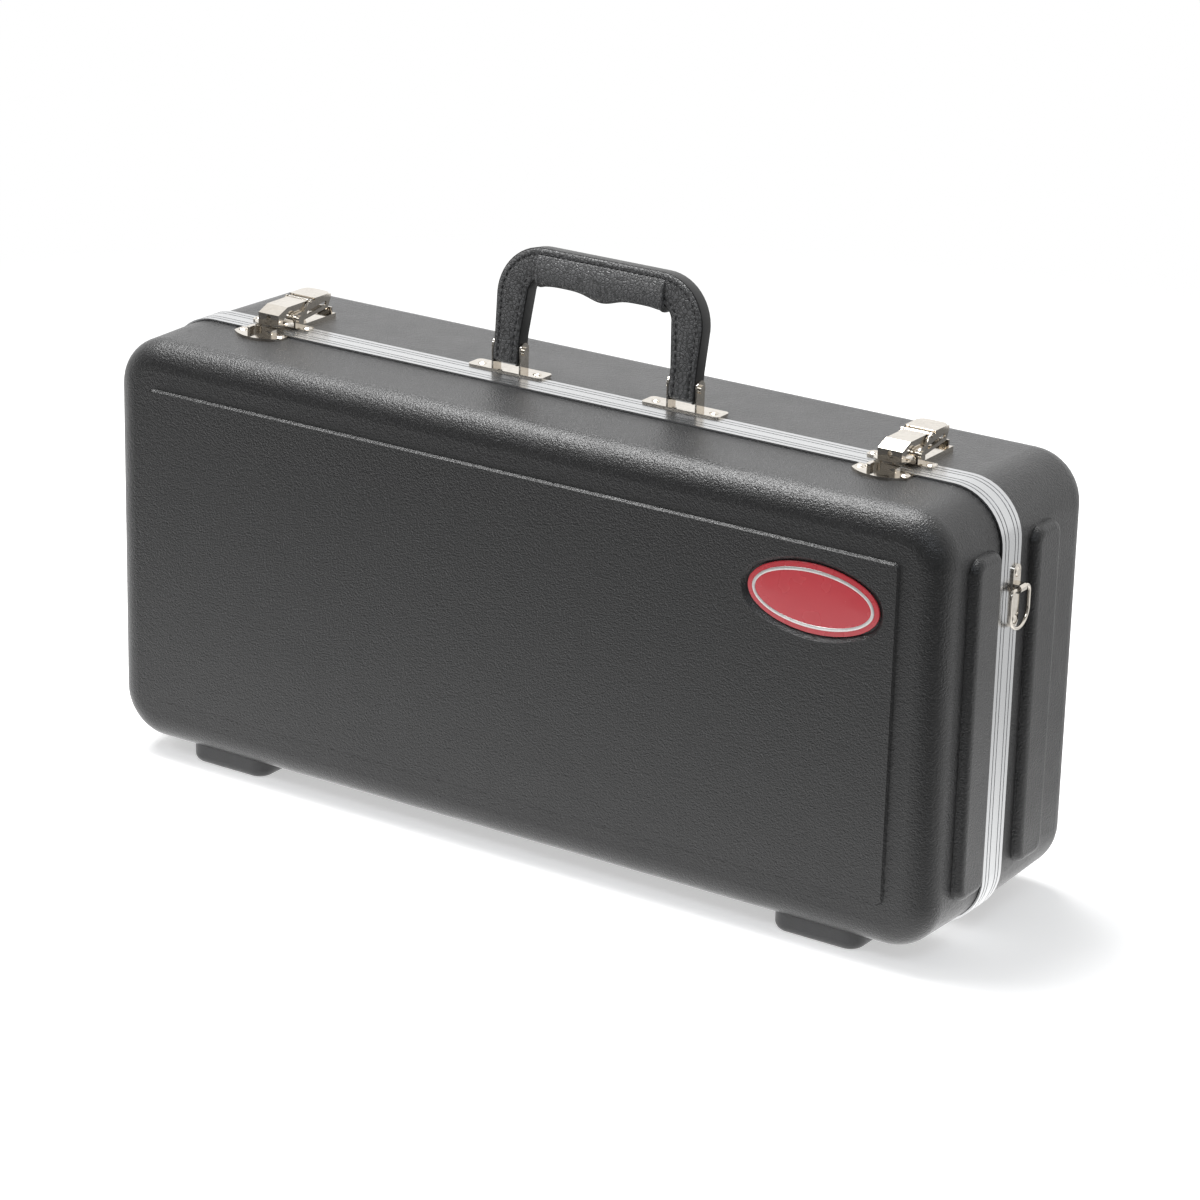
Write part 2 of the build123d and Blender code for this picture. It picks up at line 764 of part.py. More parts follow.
def make_latch_hasp(end):
    """The hasp: a stepped cover with side flanges, a sloping nose and a hooked foot over the strike."""
    centre = end * latch_spacing / 2
    hinge_y, hinge_z_up = hasp_pivot
    pivot_y, pivot_z = latch_pivot
    flange_low = pivot_z + latch_pin_radius + 0.7
    with BuildPart() as hasp:
        with BuildSketch(side_profile(centre).offset(-hasp_half)):
            with BuildLine():
                Polyline(
                    (hinge_y, hasp_top), (0, hasp_top), (-hasp_nose, hasp_top - 3.4),
                    (-hasp_nose, hook_height + plate), (-hasp_nose + plate, hook_height + plate),
                    (-hasp_nose + plate, hasp_top - 3.4 - plate * 0.7), (0.2, hasp_top - plate),
                    (hinge_y, hasp_top - plate), close=True,
                )
            make_face()
            with Locations((hinge_y, hinge_z_up)):
                Circle(knuckle_roll)
        extrude(amount=2 * hasp_half)
        for wing in (-1, 1):
            with BuildSketch(side_profile(centre + wing * (hasp_half - plate / 2)).offset(-plate / 2)):
                with BuildLine():
                    Polyline(
                        (hinge_y - 3.4, hasp_top - plate / 2), (0, hasp_top - plate / 2),
                        (-hasp_nose + plate / 2, hasp_top - 3.9), (-hasp_nose + plate / 2, hook_height + plate / 2),
                        (-hasp_nose + 3.4, hook_height + plate / 2), (-hasp_nose + 5.4, flange_low),
                        (hinge_y - 5, flange_low + 1), close=True,
                    )
                make_face()
            extrude(amount=plate)
        with BuildSketch(Plane.XY.offset(top_z + hook_height)):
            with BuildLine():
                front = parting_y - hook_reach
                back = parting_y - hasp_nose + 6
                side = parting_y - hasp_nose - 0.5
                arc = ThreePointArc((centre - hook_half, side), (centre, front), (centre + hook_half, side))
                Polyline(arc @ 1, (centre + hook_half, back), (centre - hook_half, back), arc @ 0)
            make_face()
            with Locations((centre, parting_y - hook_reach + 3.2)):
                Circle(1.0, mode=Mode.SUBTRACT)
        extrude(amount=plate)
        with Locations(on_top(centre, -hasp_nose, hasp_top - 5.6)):
            Cylinder(1.4, 4, rotation=(90, 0, 0), mode=Mode.SUBTRACT)
        with Locations(on_top(centre, hinge_y, hinge_z_up)):
            Cylinder(latch_pin_radius - 0.3 + pin_clearance, 4 * hasp_half, rotation=(0, 90, 0), mode=Mode.SUBTRACT)
    return hasp.part


def make_strike(end):
    """The strike on the lid: a half-moon plate with a raised catch under the hasp's foot."""
    centre = end * latch_spacing / 2
    back = rim_width + edge_gap
    with BuildPart() as strike:
        with BuildSketch(Plane.XY.offset(strike_z - plate)):
            with BuildLine():
                left = (centre - strike_half, parting_y - strike_shoulder)
                right = (centre + strike_half, parting_y - strike_shoulder)
                arc = ThreePointArc(left, (centre, parting_y - strike_reach), right)
                Polyline(
                    arc @ 1, (centre + strike_half, parting_y - back),
                    (centre - strike_half, parting_y - back), arc @ 0,
                )
            make_face()
        extrude(amount=2 * plate)
        crest = top_z + catch_height - strike_z
        with BuildSketch(Plane.XY.offset(strike_z)):
            with Locations(on_top(centre, -back - catch_length / 2)[:2]):
                RectangleRounded(2 * catch_half, catch_length, 2.2)
        extrude(amount=crest)
        with BuildSketch(Plane.XY.offset(strike_z + plate)):
            with Locations(on_top(centre, -back - catch_length / 2 - 1.4)[:2]):
                RectangleRounded(2 * catch_half - 5, catch_length - 2.4, 1.6)
        extrude(amount=crest, mode=Mode.SUBTRACT)
        add(moulded_block(LID, edge_gap, shell_face_depth, 0, face_radius), mode=Mode.SUBTRACT)
        spots = [spot for spot in strike_rivet_spots() if spot.origin.X * end > 0]
        cut_rivet_holes([spot.offset(2 * plate) for spot in spots], 4 * plate)
    return strike.part


def make_handle_plate(end):
    """The handle's mount: a riveted plate with two upright ears for the pin."""
    centre = handle_shift + end * handle_spacing / 2
    with BuildPart() as mount:
        with BuildSketch(Plane.XY.offset(top_z)):
            with Locations(on_top(centre, handle_set_back)[:2]):
                RectangleRounded(handle_plate_length, handle_plate_width, 3)
        extrude(amount=plate)
        back = handle_set_back + handle_plate_width / 2
        packer = back - rim_width - edge_gap
        with BuildSketch(Plane.XY.offset(top_z)):
            with Locations(on_top(centre, back - packer / 2)[:2]):
                Rectangle(handle_plate_length - 4, packer)
        extrude(amount=-2 * plate)
        add(moulded_block(BASE, edge_gap, base_depth, 0, face_radius), mode=Mode.SUBTRACT)
        for wing in (-1, 1):
            x = centre + wing * (leg_width / 2 + leg_play + plate / 2)
            with BuildSketch(side_profile(x).offset(-plate / 2)):
                with Locations((handle_set_back, (ear_height - ear_width / 2 + plate / 2) / 2)):
                    Rectangle(ear_width, ear_height - ear_width / 2 - plate / 2)
                with Locations((handle_set_back, ear_height - ear_width / 2)):
                    Circle(ear_width / 2)
                with Locations((handle_set_back, handle_pivot_height)):
                    Circle(handle_pin_radius + fixed_clearance, mode=Mode.SUBTRACT)
            extrude(amount=plate)
        spots = [spot for spot in handle_rivet_spots() if (spot.origin.X - handle_shift) * end > 0]
        cut_rivet_holes([spot.offset(2 * plate) for spot in spots], 4 * plate)
    return mount.part


def make_handle_pin(end):
    half = leg_width / 2 + leg_play + plate
    return headed_pin(
        handle_shift + end * handle_spacing / 2, handle_set_back, handle_pivot_height, handle_pin_radius, half, 1.2
    )


def handle_plane(depth):
    """The handle's front plane, leaning back about the pins, for a shape of that depth about its middle."""
    lean = radians(handle_tilt)
    up = Vector(0, sin(lean), cos(lean))
    front = Vector(0, -cos(lean), sin(lean))
    pivot = Vector(handle_shift, parting_y + handle_set_back, top_z + handle_pivot_height)
    return Plane(origin=pivot - up * handle_pivot_height + front * (depth / 2), x_dir=(1, 0, 0), z_dir=front)


def handle_arch(outer, low, high, inner_high, width, flares, corners):
    """A solid arch outline: two legs and a bar, rounded outside and inside."""
    inner = outer - width
    straight = ear_height + ear_width / 2
    with BuildSketch() as arch:
        with BuildLine():
            outside = FilletPolyline(
                (-outer, straight), (-outer - flares[0], high), (outer + flares[0], high), (outer, straight),
                radius=corners[0],
            )
            inside = FilletPolyline(
                (-inner, straight), (flares[1] - inner, inner_high), (inner - flares[1], inner_high),
                (inner, straight), radius=corners[1],
            )
            Polyline(outside @ 0, (-outer, low), (-inner, low), inside @ 0)
            Polyline(outside @ 1, (outer, low), (inner, low), inside @ 1)
        make_face()
    return arch.sketch


def strap_arch():
    """The steel strap's outline, down the middle of the handle, with an eye round each pin."""
    middle = handle_spacing / 2
    high = handle_rise - bar_height / 2
    with BuildSketch() as outline:
        corner = handle_corner - leg_width / 2
        add(handle_arch(
            middle + strap / 2, handle_pivot_height, high, high - strap, strap, (0, 0), (corner, corner - strap)
        ))
        with Locations((-middle, handle_pivot_height), (middle, handle_pivot_height)):
            Rectangle(2 * handle_pin_radius + 3, 2 * handle_pin_radius + 3)
    return outline.sketch


def make_handle_core():
    """The handle's steel strap."""
    with BuildPart() as core:
        with BuildSketch(handle_plane(strap_depth)):
            add(strap_arch())
        extrude(amount=-strap_depth)
        cut_handle_pin_holes(handle_pin_radius + pin_clearance)
    return core.part


def cut_handle_pin_holes(radius):
    """Cuts both pins' holes through the part that is open."""
    for end in SIDES.values():
        with Locations(on_top(handle_shift + end * handle_spacing / 2, handle_set_back, handle_pivot_height)):
            Cylinder(radius, leg_width + 2, rotation=(0, 90, 0), mode=Mode.SUBTRACT)


def cover_arch():
    """The outline of the handle's cover."""
    return handle_arch(
        (handle_spacing + leg_width) / 2, leg_foot, handle_rise, handle_rise - bar_height, leg_width,
        (leg_spread, leg_gather), (handle_corner, handle_inner_corner),
    )


def make_handle_cover():
    """The stitched cover round the strap: two legs and the bar between them."""
    with BuildPart() as cover:
        with BuildSketch(handle_plane(leg_depth)):
            add(cover_arch())
        extrude(amount=-leg_depth)
        front_and_back = cover.faces().filter_by(GeomType.PLANE).group_by(SortBy.AREA)[-1]
        fillet(front_and_back.edges(), radius=leg_edge)
        with BuildSketch(handle_plane(strap_depth)):
            add(strap_arch())
        extrude(amount=-strap_depth, mode=Mode.SUBTRACT)
        cut_handle_pin_holes(handle_pin_radius + 0.3)
    return cover.part


def grip_outline():
    """The grip's outline: a straight top and an underside of three smooth arcs, a ridge between two hollows."""
    half = grip_length / 2
    rise = grip_hollow_drop - grip_ridge_drop
    hollow_radius = (grip_hollow**2 + rise**2) / (2 * rise) - grip_ridge_radius
    share = grip_ridge_radius / (grip_ridge_radius + hollow_radius)
    meet_x = grip_hollow * share
    meet_y = grip_hollow_drop - hollow_radius
    meet_y += (grip_ridge_drop + grip_ridge_radius - meet_y) * (1 - share)
    end_y = grip_hollow_drop - hollow_radius + sqrt(hollow_radius**2 - (half - grip_hollow) ** 2)
    with BuildSketch() as outline:
        with BuildLine():
            ThreePointArc((-half, end_y), (-grip_hollow, grip_hollow_drop), (-meet_x, meet_y))
            ThreePointArc((-meet_x, meet_y), (0, grip_ridge_drop), (meet_x, meet_y))
            ThreePointArc((meet_x, meet_y), (grip_hollow, grip_hollow_drop), (half, end_y))
            Polyline((half, end_y), (half, grip_top), (-half, grip_top), (-half, end_y))
        make_face()
    return outline.sketch


def make_handle_grip():
    """The padded grip round the handle's bar, rounded along its underside and closed over the cover."""
    with BuildPart() as grip:
        with BuildSketch(handle_plane(grip_depth)):
            add(grip_outline())
        extrude(amount=-grip_depth)
        front_and_back = grip.faces().filter_by(GeomType.PLANE).group_by(SortBy.AREA)[-1]
        fillet(front_and_back.edges().filter_by(GeomType.CIRCLE), radius=grip_edge)
        with BuildSketch(handle_plane(leg_depth)):
            add(cover_arch())
        extrude(amount=-leg_depth, mode=Mode.SUBTRACT)
    return grip.part


def ring_pivot(end):
    """The ring's hinge line: just outside its bracket, above the bracket's middle."""
    x = end * (end_x + plate + ring_pivot_gap)
    return (x, parting_y + ring_bracket_offset, ring_bracket_centre + ring_pivot_rise)


def make_ring_bracket(end):
    """A riveted strip on the base rim, with a rolled loop that holds the ring's bar."""
    x, y, z = ring_pivot(end)
    with BuildPart() as bracket:
        with BuildSketch(Plane(origin=(end * end_x, y, ring_bracket_centre), x_dir=(0, end, 0), z_dir=(end, 0, 0))):
            SlotOverall(ring_bracket_height, ring_bracket_width, rotation=90)
        extrude(amount=plate)
        inner = ring_wire + ring_play
        with BuildSketch(Plane(origin=(0, y + ring_loop_width / 2, 0), x_dir=(1, 0, 0), z_dir=(0, -1, 0))):
            with Locations((x, z)):
                Circle(inner + plate)
            with Locations(((x + end * end_x) / 2, z)):
                Rectangle(abs(x - end * end_x), 2 * (inner + plate))
            with Locations((x, z)):
                Circle(inner, mode=Mode.SUBTRACT)
        extrude(amount=ring_loop_width)
        spots = ring_rivet_spots(end)
        cut_rivet_holes([spot.offset(2 * plate) for spot in spots], 4 * plate)
    return bracket.part


def make_ring(end):
    """The strap ring: one closed oval of wire, hanging by its straight top bar."""
    x, y, z = ring_pivot(end)
    face = Plane(origin=(x, y, z), x_dir=(0, 1, 0), z_dir=(1, 0, 0))
    side = ring_half_width
    with BuildPart() as ring:
        with BuildLine(face) as path:
            bar = Line((-side + 4, 0), (side - 4, 0))
            right = ThreePointArc(bar @ 1, (side - 4 + 4 * sin(radians(45)), -4 + 4 * cos(radians(45))), (side, -4))
            down = Line(right @ 1, (side, -ring_drop + side))
            bow = ThreePointArc(down @ 1, (0, -ring_drop), (-side, -ring_drop + side))
            up = Line(bow @ 1, (-side, -4))
            ThreePointArc(up @ 1, (-side + 4 - 4 * sin(radians(45)), -4 + 4 * cos(radians(45))), bar @ 0)
        with BuildSketch(Plane(origin=path.line @ 0, z_dir=path.line % 0)):
            Circle(ring_wire)
        sweep(path=path.line)
    return ring.part


def write(part, name):
    """Labels a finished piece and writes it as one STEP file."""
    part.label = name
    export_step(part, f"parts/{name}.step")


def write_case_halves():
    write(make_shell(LID), "lid_shell")
    write(make_shell(BASE), "base_shell")
    write(make_rim(LID), "lid_rim")
    write(make_rim(BASE), "base_rim")
    write(make_lid_lining(), "lid_lining")
    write(make_base_lining(), "base_lining")
    write(make_compartment_lid(), "compartment_lid")
    write(make_feet(LID), "lid_feet")
    write(make_feet(BASE), "base_feet")
    write(make_badge(), "badge")


def write_hardware():
    for name, end in SIDES.items():
        write(make_hinge_leaf(LID, end), f"hinge_lid_leaf_{name}")
        write(make_hinge_leaf(BASE, end), f"hinge_base_leaf_{name}")
        write(make_hinge_pin(end), f"hinge_pin_{name}")
        write(make_latch_base(end), f"latch_base_{name}")
        write(make_latch_pin(end), f"latch_pin_{name}")
        write(make_latch_lever(end), f"latch_lever_{name}")
        write(make_latch_hasp(end), f"latch_hasp_{name}")
        write(make_hasp_pin(end), f"hasp_pin_{name}")
        write(make_strike(end), f"strike_{name}")
        write(make_handle_plate(end), f"handle_plate_{name}")
        write(make_handle_pin(end), f"handle_pin_{name}")
        write(make_ring_bracket(end), f"ring_bracket_{name}")
        write(make_ring(end), f"strap_ring_{name}")
    write(make_handle_core(), "handle_core")
    write(make_handle_cover(), "handle_cover")
    write(make_handle_grip(), "handle_grip")


def write_rivets():
    on_rim = [spot.offset(plate) for spot in latch_rivet_spots()]
    write(rivets(on_rim, plate + rim_grip), "latch_rivets")
    tail_grip = shell_inset(latch_rear_rivet) + wall
    write(rivets([spot.offset(plate) for spot in latch_tail_spots()], plate + tail_grip), "latch_tail_rivets")
    handle_grip = shell_inset(handle_set_back) + wall
    write(rivets([spot.offset(plate) for spot in handle_rivet_spots()], plate + handle_grip), "handle_rivets")
    strike_grip = top_z - strike_z - shell_inset(strike_rivet_offset)
    write(rivets([spot.offset(plate) for spot in strike_rivet_spots()], plate + wall - strike_grip), "strike_rivets")
    for side, label in ((LID, "lid"), (BASE, "base")):
        spots = [spot.offset(plate) for spot in hinge_rivet_spots(side)]
        write(rivets(spots, plate + rim_grip), f"hinge_{label}_rivets")
        write(make_foot_rivets(side), f"{label}_foot_rivets")
    ring_spots = [spot.offset(plate) for end in SIDES.values() for spot in ring_rivet_spots(end)]
    write(rivets(ring_spots, plate + rim_grip), "ring_rivets")


def main():
    os.makedirs("parts", exist_ok=True)
    write_case_halves()
    write_hardware()
    write_rivets()


main()
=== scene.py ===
# %% [markdown]
# # A hard case for a trumpet
# The case stands on its feet with the lid's face towards us. The solids come from a packed
# CAD model, and this lesson dresses them: leather-grained ABS, grooved aluminium, bright
# nickel, a stitched handle and a plush lining. Everything is in metres, in the CAD's frame.
# Hard pieces keep their exact CAD meshes and only get a material. Soft pieces, and the
# badge, are modelled anew here, because a solid can't show a stitch or a padded edge.

import math

import bmesh
import bpy
from mathutils import Matrix, Vector


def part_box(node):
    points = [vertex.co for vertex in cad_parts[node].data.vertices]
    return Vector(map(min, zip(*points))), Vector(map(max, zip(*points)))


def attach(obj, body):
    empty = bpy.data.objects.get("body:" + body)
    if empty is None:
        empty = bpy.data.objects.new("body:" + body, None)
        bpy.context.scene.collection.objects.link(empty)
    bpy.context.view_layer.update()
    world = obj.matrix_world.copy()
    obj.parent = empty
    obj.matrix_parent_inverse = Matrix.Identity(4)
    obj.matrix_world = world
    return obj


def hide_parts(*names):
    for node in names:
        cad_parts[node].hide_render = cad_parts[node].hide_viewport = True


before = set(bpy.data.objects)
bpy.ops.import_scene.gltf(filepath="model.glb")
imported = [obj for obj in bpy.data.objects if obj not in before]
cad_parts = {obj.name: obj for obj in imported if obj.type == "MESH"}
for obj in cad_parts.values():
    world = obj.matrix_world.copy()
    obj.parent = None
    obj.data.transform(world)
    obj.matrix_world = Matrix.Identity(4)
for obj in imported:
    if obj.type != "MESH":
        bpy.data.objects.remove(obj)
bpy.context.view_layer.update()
MM = 0.001
SIDES = ("left", "right")

# %% [markdown]
# ## The camera
# The photographer stood to the right and above, with a long lens, so that the lid's face,
# the top and the right end all show. The camera could be aimed by hand until the picture
# fits, but its place and directions were worked out from the case's own edges, which is
# exact. A camera's matrix has its right, up and back directions as columns, and its
# place as the last column.

# %% Set the camera
camera_place = Vector((1.21453, -1.83573, 0.93077))
camera_right = Vector((0.83169, 0.55469, 0.02461))
camera_up = Vector((-0.20835, 0.27070, 0.93985))
camera_back = Vector((0.51466, -0.78679, 0.34071))
LENS_MM = 122.86
SENSOR_MM = 36.0

camera = bpy.data.objects.new("camera", bpy.data.cameras.new("camera"))
bpy.context.scene.collection.objects.link(camera)
axes = Matrix((camera_right, camera_up, camera_back)).transposed()
camera.matrix_world = Matrix.Translation(camera_place) @ axes.to_4x4()
camera.data.lens = LENS_MM
camera.data.sensor_width = SENSOR_MM
camera.data.clip_start = 0.05
bpy.context.scene.camera = camera
bpy.context.scene.view_settings.view_transform = "Standard"
print("camera looks along", tuple(round(-c, 3) for c in camera_back))

# %% [markdown]
# ## Nodes without clutter
# A material is a little network. It could be built in the shader editor by hand, but then
# nobody could read it here. These helpers add a node, set its sockets and join it up in
# one line, so that each recipe below reads from left to right.


# %% Helpers for node networks
def new_node(tree, kind, settings=None, **sockets):
    node = tree.nodes.new(kind)
    for name, value in (settings or {}).items():
        setattr(node, name, value)
    for name, value in sockets.items():
        put(tree, node.inputs[name.replace("_", " ")], value)
    return node


def put(tree, socket, value):
    """A socket takes another socket's value as a link, and anything else as its own value."""
    if isinstance(value, bpy.types.NodeSocket):
        tree.links.new(value, socket)
    else:
        socket.default_value = value


def math_node(tree, operation, *values):
    node = tree.nodes.new("ShaderNodeMath")
    node.operation = operation
    for socket, value in zip(node.inputs, values):
        put(tree, socket, value)
    return node.outputs[0]


def ramp(tree, value, start, end, low=0.0, high=1.0, smooth=False):
    """Goes from low to high as the value goes from start to end, and holds beyond them."""
    kind = {"interpolation_type": "SMOOTHSTEP" if smooth else "LINEAR"}
    node = new_node(tree, "ShaderNodeMapRange", kind, Value=value, From_Min=start, From_Max=end,
                    To_Min=low, To_Max=high)
    return node.outputs["Result"]


def mix_shaders(tree, share, first, second):
    node = tree.nodes.new("ShaderNodeMixShader")
    for socket, value in zip(node.inputs, (share, first, second)):
        put(tree, socket, value)
    return node.outputs[0]


def noise(tree, vector, scale, **settings):
    node = new_node(tree, "ShaderNodeTexNoise", Vector=vector, Scale=scale, **settings)
    return node.outputs["Fac"]


def grey(level):
    return (level, level, level, 1.0)


print("helpers ready")

# %% [markdown]
# ## The paper sweep
# The photograph is a product shot: white paper that runs up behind the case, with one
# soft shadow. A shadow catcher would do for a single picture, but a plain floor works in
# every view. Close to the case it is pale paper that takes the shadow, with a glow added
# so that the lit paper just reaches white. With distance it fades into plain white.

# %% Paper that takes a shadow
SHADOW_NEAR = 0.5
SHADOW_FAR = 1.3
PAPER_TONE = 0.9
PAPER_SHARE = 0.8
PAPER_GLOW = 2.4


def lit_paper(tree, place):
    """The floor as the camera sees it, and the bare paper that lights the case."""
    away = new_node(tree, "ShaderNodeVectorMath", {"operation": "LENGTH"})
    put(tree, away.inputs[0], place)
    fade = ramp(tree, away.outputs["Value"], SHADOW_NEAR, SHADOW_FAR, smooth=True)
    paper = new_node(tree, "ShaderNodeBsdfDiffuse", Color=grey(PAPER_TONE)).outputs[0]
    glow = new_node(tree, "ShaderNodeEmission", Color=grey(1.0), Strength=PAPER_GLOW).outputs[0]
    white = new_node(tree, "ShaderNodeEmission", Color=grey(1.0)).outputs[0]
    near = mix_shaders(tree, 1.0 - PAPER_SHARE, paper, glow)
    return mix_shaders(tree, fade, near, white), paper


print("paper fades between", SHADOW_NEAR, "and", SHADOW_FAR, "m")

# %% [markdown]
# ### What the metals mirror
# Bright metal shows its surroundings more than its own colour. White cards round the case
# would be seen by the camera too, so instead only reflections see a glow in the paper: it
# is strong beside the case, weak far in front and behind, and darker by the front's right
# corner, where the latch and the rim turn dark in the photograph.

# %% A glow for reflections
MIRROR_NEAR = 1.8
MIRROR_FAR = 0.3
MIRROR_BACK = 0.95
MIRROR_SHADE = 0.7
FRONT_DIM, FRONT_BRIGHT = -0.75, -0.15
REAR_BRIGHT, REAR_DIM = 0.0, 0.3
SHADE_LEFT, SHADE_RIGHT = 0.27, 0.42
SHADE_REAR, SHADE_FRONT = 0.05, -0.12


def mirrored_glow(tree, place):
    """The floor as a reflection sees it: its strength follows x and y."""
    spot = new_node(tree, "ShaderNodeSeparateXYZ", Vector=place).outputs
    ahead = ramp(tree, spot["Y"], FRONT_DIM, FRONT_BRIGHT, MIRROR_FAR, MIRROR_NEAR)
    behind = ramp(tree, spot["Y"], REAR_BRIGHT, REAR_DIM, MIRROR_NEAR, MIRROR_BACK)
    sweep = math_node(tree, "MINIMUM", ahead, behind)
    right = ramp(tree, spot["X"], SHADE_LEFT, SHADE_RIGHT)
    front = ramp(tree, spot["Y"], SHADE_REAR, SHADE_FRONT)
    shade = math_node(tree, "MULTIPLY", math_node(tree, "MULTIPLY", right, front), MIRROR_SHADE)
    strength = math_node(tree, "MULTIPLY", sweep, math_node(tree, "SUBTRACT", 1.0, shade))
    return new_node(tree, "ShaderNodeEmission", Color=grey(1.0), Strength=strength).outputs[0]


print("mirrored glow from", MIRROR_FAR, "to", MIRROR_NEAR)

# %% [markdown]
# ### Lay the floor
# One large square is enough. A Light Path node tells who looks: the camera sees the lit
# paper, reflections see the glow, and everything else gets the light of bare paper.
# Blender's Plane would do for the square, but most pieces of this case are lists of
# corners and faces, so the helper that turns such lists into an object starts here.


# %% Turn corners and faces into an object
def mesh_object(name, verts, faces, material=None, smooth=True):
    mesh = bpy.data.meshes.new(name)
    mesh.from_pydata([tuple(v) for v in verts], [], faces)
    mesh.validate()
    if smooth:
        mesh.polygons.foreach_set("use_smooth", [True] * len(mesh.polygons))
    if material:
        mesh.materials.append(material)
    piece = bpy.data.objects.new(name, mesh)
    bpy.context.scene.collection.objects.link(piece)
    return piece


print("mesh helper ready")

# %% Make the floor
FLOOR_HALF = 6.0


def make_floor_material():
    material = bpy.data.materials.new("pale_sweep")
    material.use_nodes = True
    tree = material.node_tree
    tree.nodes.clear()
    place = new_node(tree, "ShaderNodeTexCoord").outputs["Object"]
    seen, paper = lit_paper(tree, place)
    path = new_node(tree, "ShaderNodeLightPath").outputs
    lit = mix_shaders(tree, path["Is Camera Ray"], paper, seen)
    surface = mix_shaders(tree, path["Is Glossy Ray"], lit, mirrored_glow(tree, place))
    put(tree, new_node(tree, "ShaderNodeOutputMaterial").inputs["Surface"], surface)
    return material


corners = [(-FLOOR_HALF, -FLOOR_HALF, 0), (FLOOR_HALF, -FLOOR_HALF, 0),
           (FLOOR_HALF, FLOOR_HALF, 0), (-FLOOR_HALF, FLOOR_HALF, 0)]
floor = mesh_object("floor", corners, [(0, 1, 2, 3)], make_floor_material(), smooth=False)
print("floor", 2 * FLOOR_HALF, "m across")

# %% [markdown]
# ## The room
# The camera sees a white world, so the backdrop is plain. As a light, such a world would
# wash out the black shells, so it gives only a dim fill. Reflections see a third world,
# dark in front, where the camera stands, and bright behind, which draws a light edge
# along the shells. An environment picture could do this, but a ramp is easier to steer.

# %% Light the room
FILL_LEVEL = 0.4
FRONT_LEVEL = 0.25
REAR_LEVEL = 1.3
LOOK_FRONT, LOOK_REAR = -0.3, 0.25

world = bpy.data.worlds.new("white_room")
world.use_nodes = True
bpy.context.scene.world = world
room = world.node_tree
room.nodes.clear()
path = new_node(room, "ShaderNodeLightPath").outputs
direct = math_node(room, "MAXIMUM", path["Is Camera Ray"], path["Is Transmission Ray"])
fill = new_node(room, "ShaderNodeBackground", Color=grey(1.0), Strength=FILL_LEVEL).outputs[0]
bright = new_node(room, "ShaderNodeBackground", Color=grey(1.0), Strength=1.0).outputs[0]
look = new_node(room, "ShaderNodeTexCoord").outputs["Generated"]
depth = new_node(room, "ShaderNodeSeparateXYZ", Vector=look).outputs["Y"]
rear = ramp(room, depth, LOOK_FRONT, LOOK_REAR, FRONT_LEVEL, REAR_LEVEL)
mirrored = new_node(room, "ShaderNodeBackground", Color=grey(1.0), Strength=rear).outputs[0]
plain = mix_shaders(room, direct, fill, bright)
surface = mix_shaders(room, path["Is Glossy Ray"], plain, mirrored)
put(room, new_node(room, "ShaderNodeOutputWorld").inputs["Surface"], surface)
print("fill", FILL_LEVEL, "and mirrored room", FRONT_LEVEL, "to", REAR_LEVEL)

# %% [markdown]
# ### Lamps
# Four softboxes light the case, as in a small studio. The key hangs above and makes the
# pale top and the soft shadow. The strip before it draws the thin light line along the
# lid's panel. A smaller box at the front left lifts the lid's face, and a cool window at
# the front right lights the end. Area lamps are chosen because their size sets how soft
# a shadow is.


# %% Hang the lamps
def softbox(name, place, aim, width, height, watts):
    """A rectangular lamp at place that faces aim."""
    lamp = bpy.data.lights.new(name, "AREA")
    lamp.shape = "RECTANGLE"
    lamp.size = width
    lamp.size_y = height
    lamp.energy = watts
    holder = bpy.data.objects.new(name, lamp)
    turn = (Vector(aim) - Vector(place)).to_track_quat("-Z", "Y")
    holder.matrix_world = Matrix.Translation(place) @ turn.to_matrix().to_4x4()
    bpy.context.scene.collection.objects.link(holder)
    return holder


case_middle = (0.0, 0.0, 0.14)
softbox("key", (-0.45, 0.15, 1.9), case_middle, 1.1, 0.9, 50)
softbox("top_strip", (-0.9, -0.36, 1.7), case_middle, 0.9, 0.25, 12)
softbox("edge_light", (-0.95, -1.3, 1.42), case_middle, 0.9, 0.35, 5)
window = softbox("window", (1.03, -1.32, 1.55), case_middle, 0.6, 0.6, 7)
window.data.color = (0.86, 0.92, 1.0)

# %% [markdown]
# ## Effects that several materials share
# A group is a network with its own sockets, built once and placed in each material with
# other values. Copying the nodes into each material would work too, but a change would
# then have to be made many times. A group gives out only masks and heights, and each
# material decides what to do with them.


# %% Start a shader group
def new_group(name, inputs, outputs):
    group = bpy.data.node_groups.new(name, "ShaderNodeTree")
    for label, value in inputs.items():
        kind = "NodeSocketVector" if label == "Vector" else "NodeSocketFloat"
        socket = group.interface.new_socket(label, in_out="INPUT", socket_type=kind)
        if value is not None:
            socket.default_value = value
    for label in outputs:
        group.interface.new_socket(label, in_out="OUTPUT", socket_type="NodeSocketFloat")
    entry = group.nodes.new("NodeGroupInput")
    leave = group.nodes.new("NodeGroupOutput")
    return group, entry.outputs, leave.inputs


print("group helper ready")

# %% [markdown]
# ### Grain and drawn lines
# Moulded grain is a field of rounded pebbles: a soft Voronoi pattern has their shape, and
# a finer noise roughens them. A drawn metal has long lines: a noise that is stretched by
# its material's Mapping node. Pictures of real grain would repeat, and these don't.


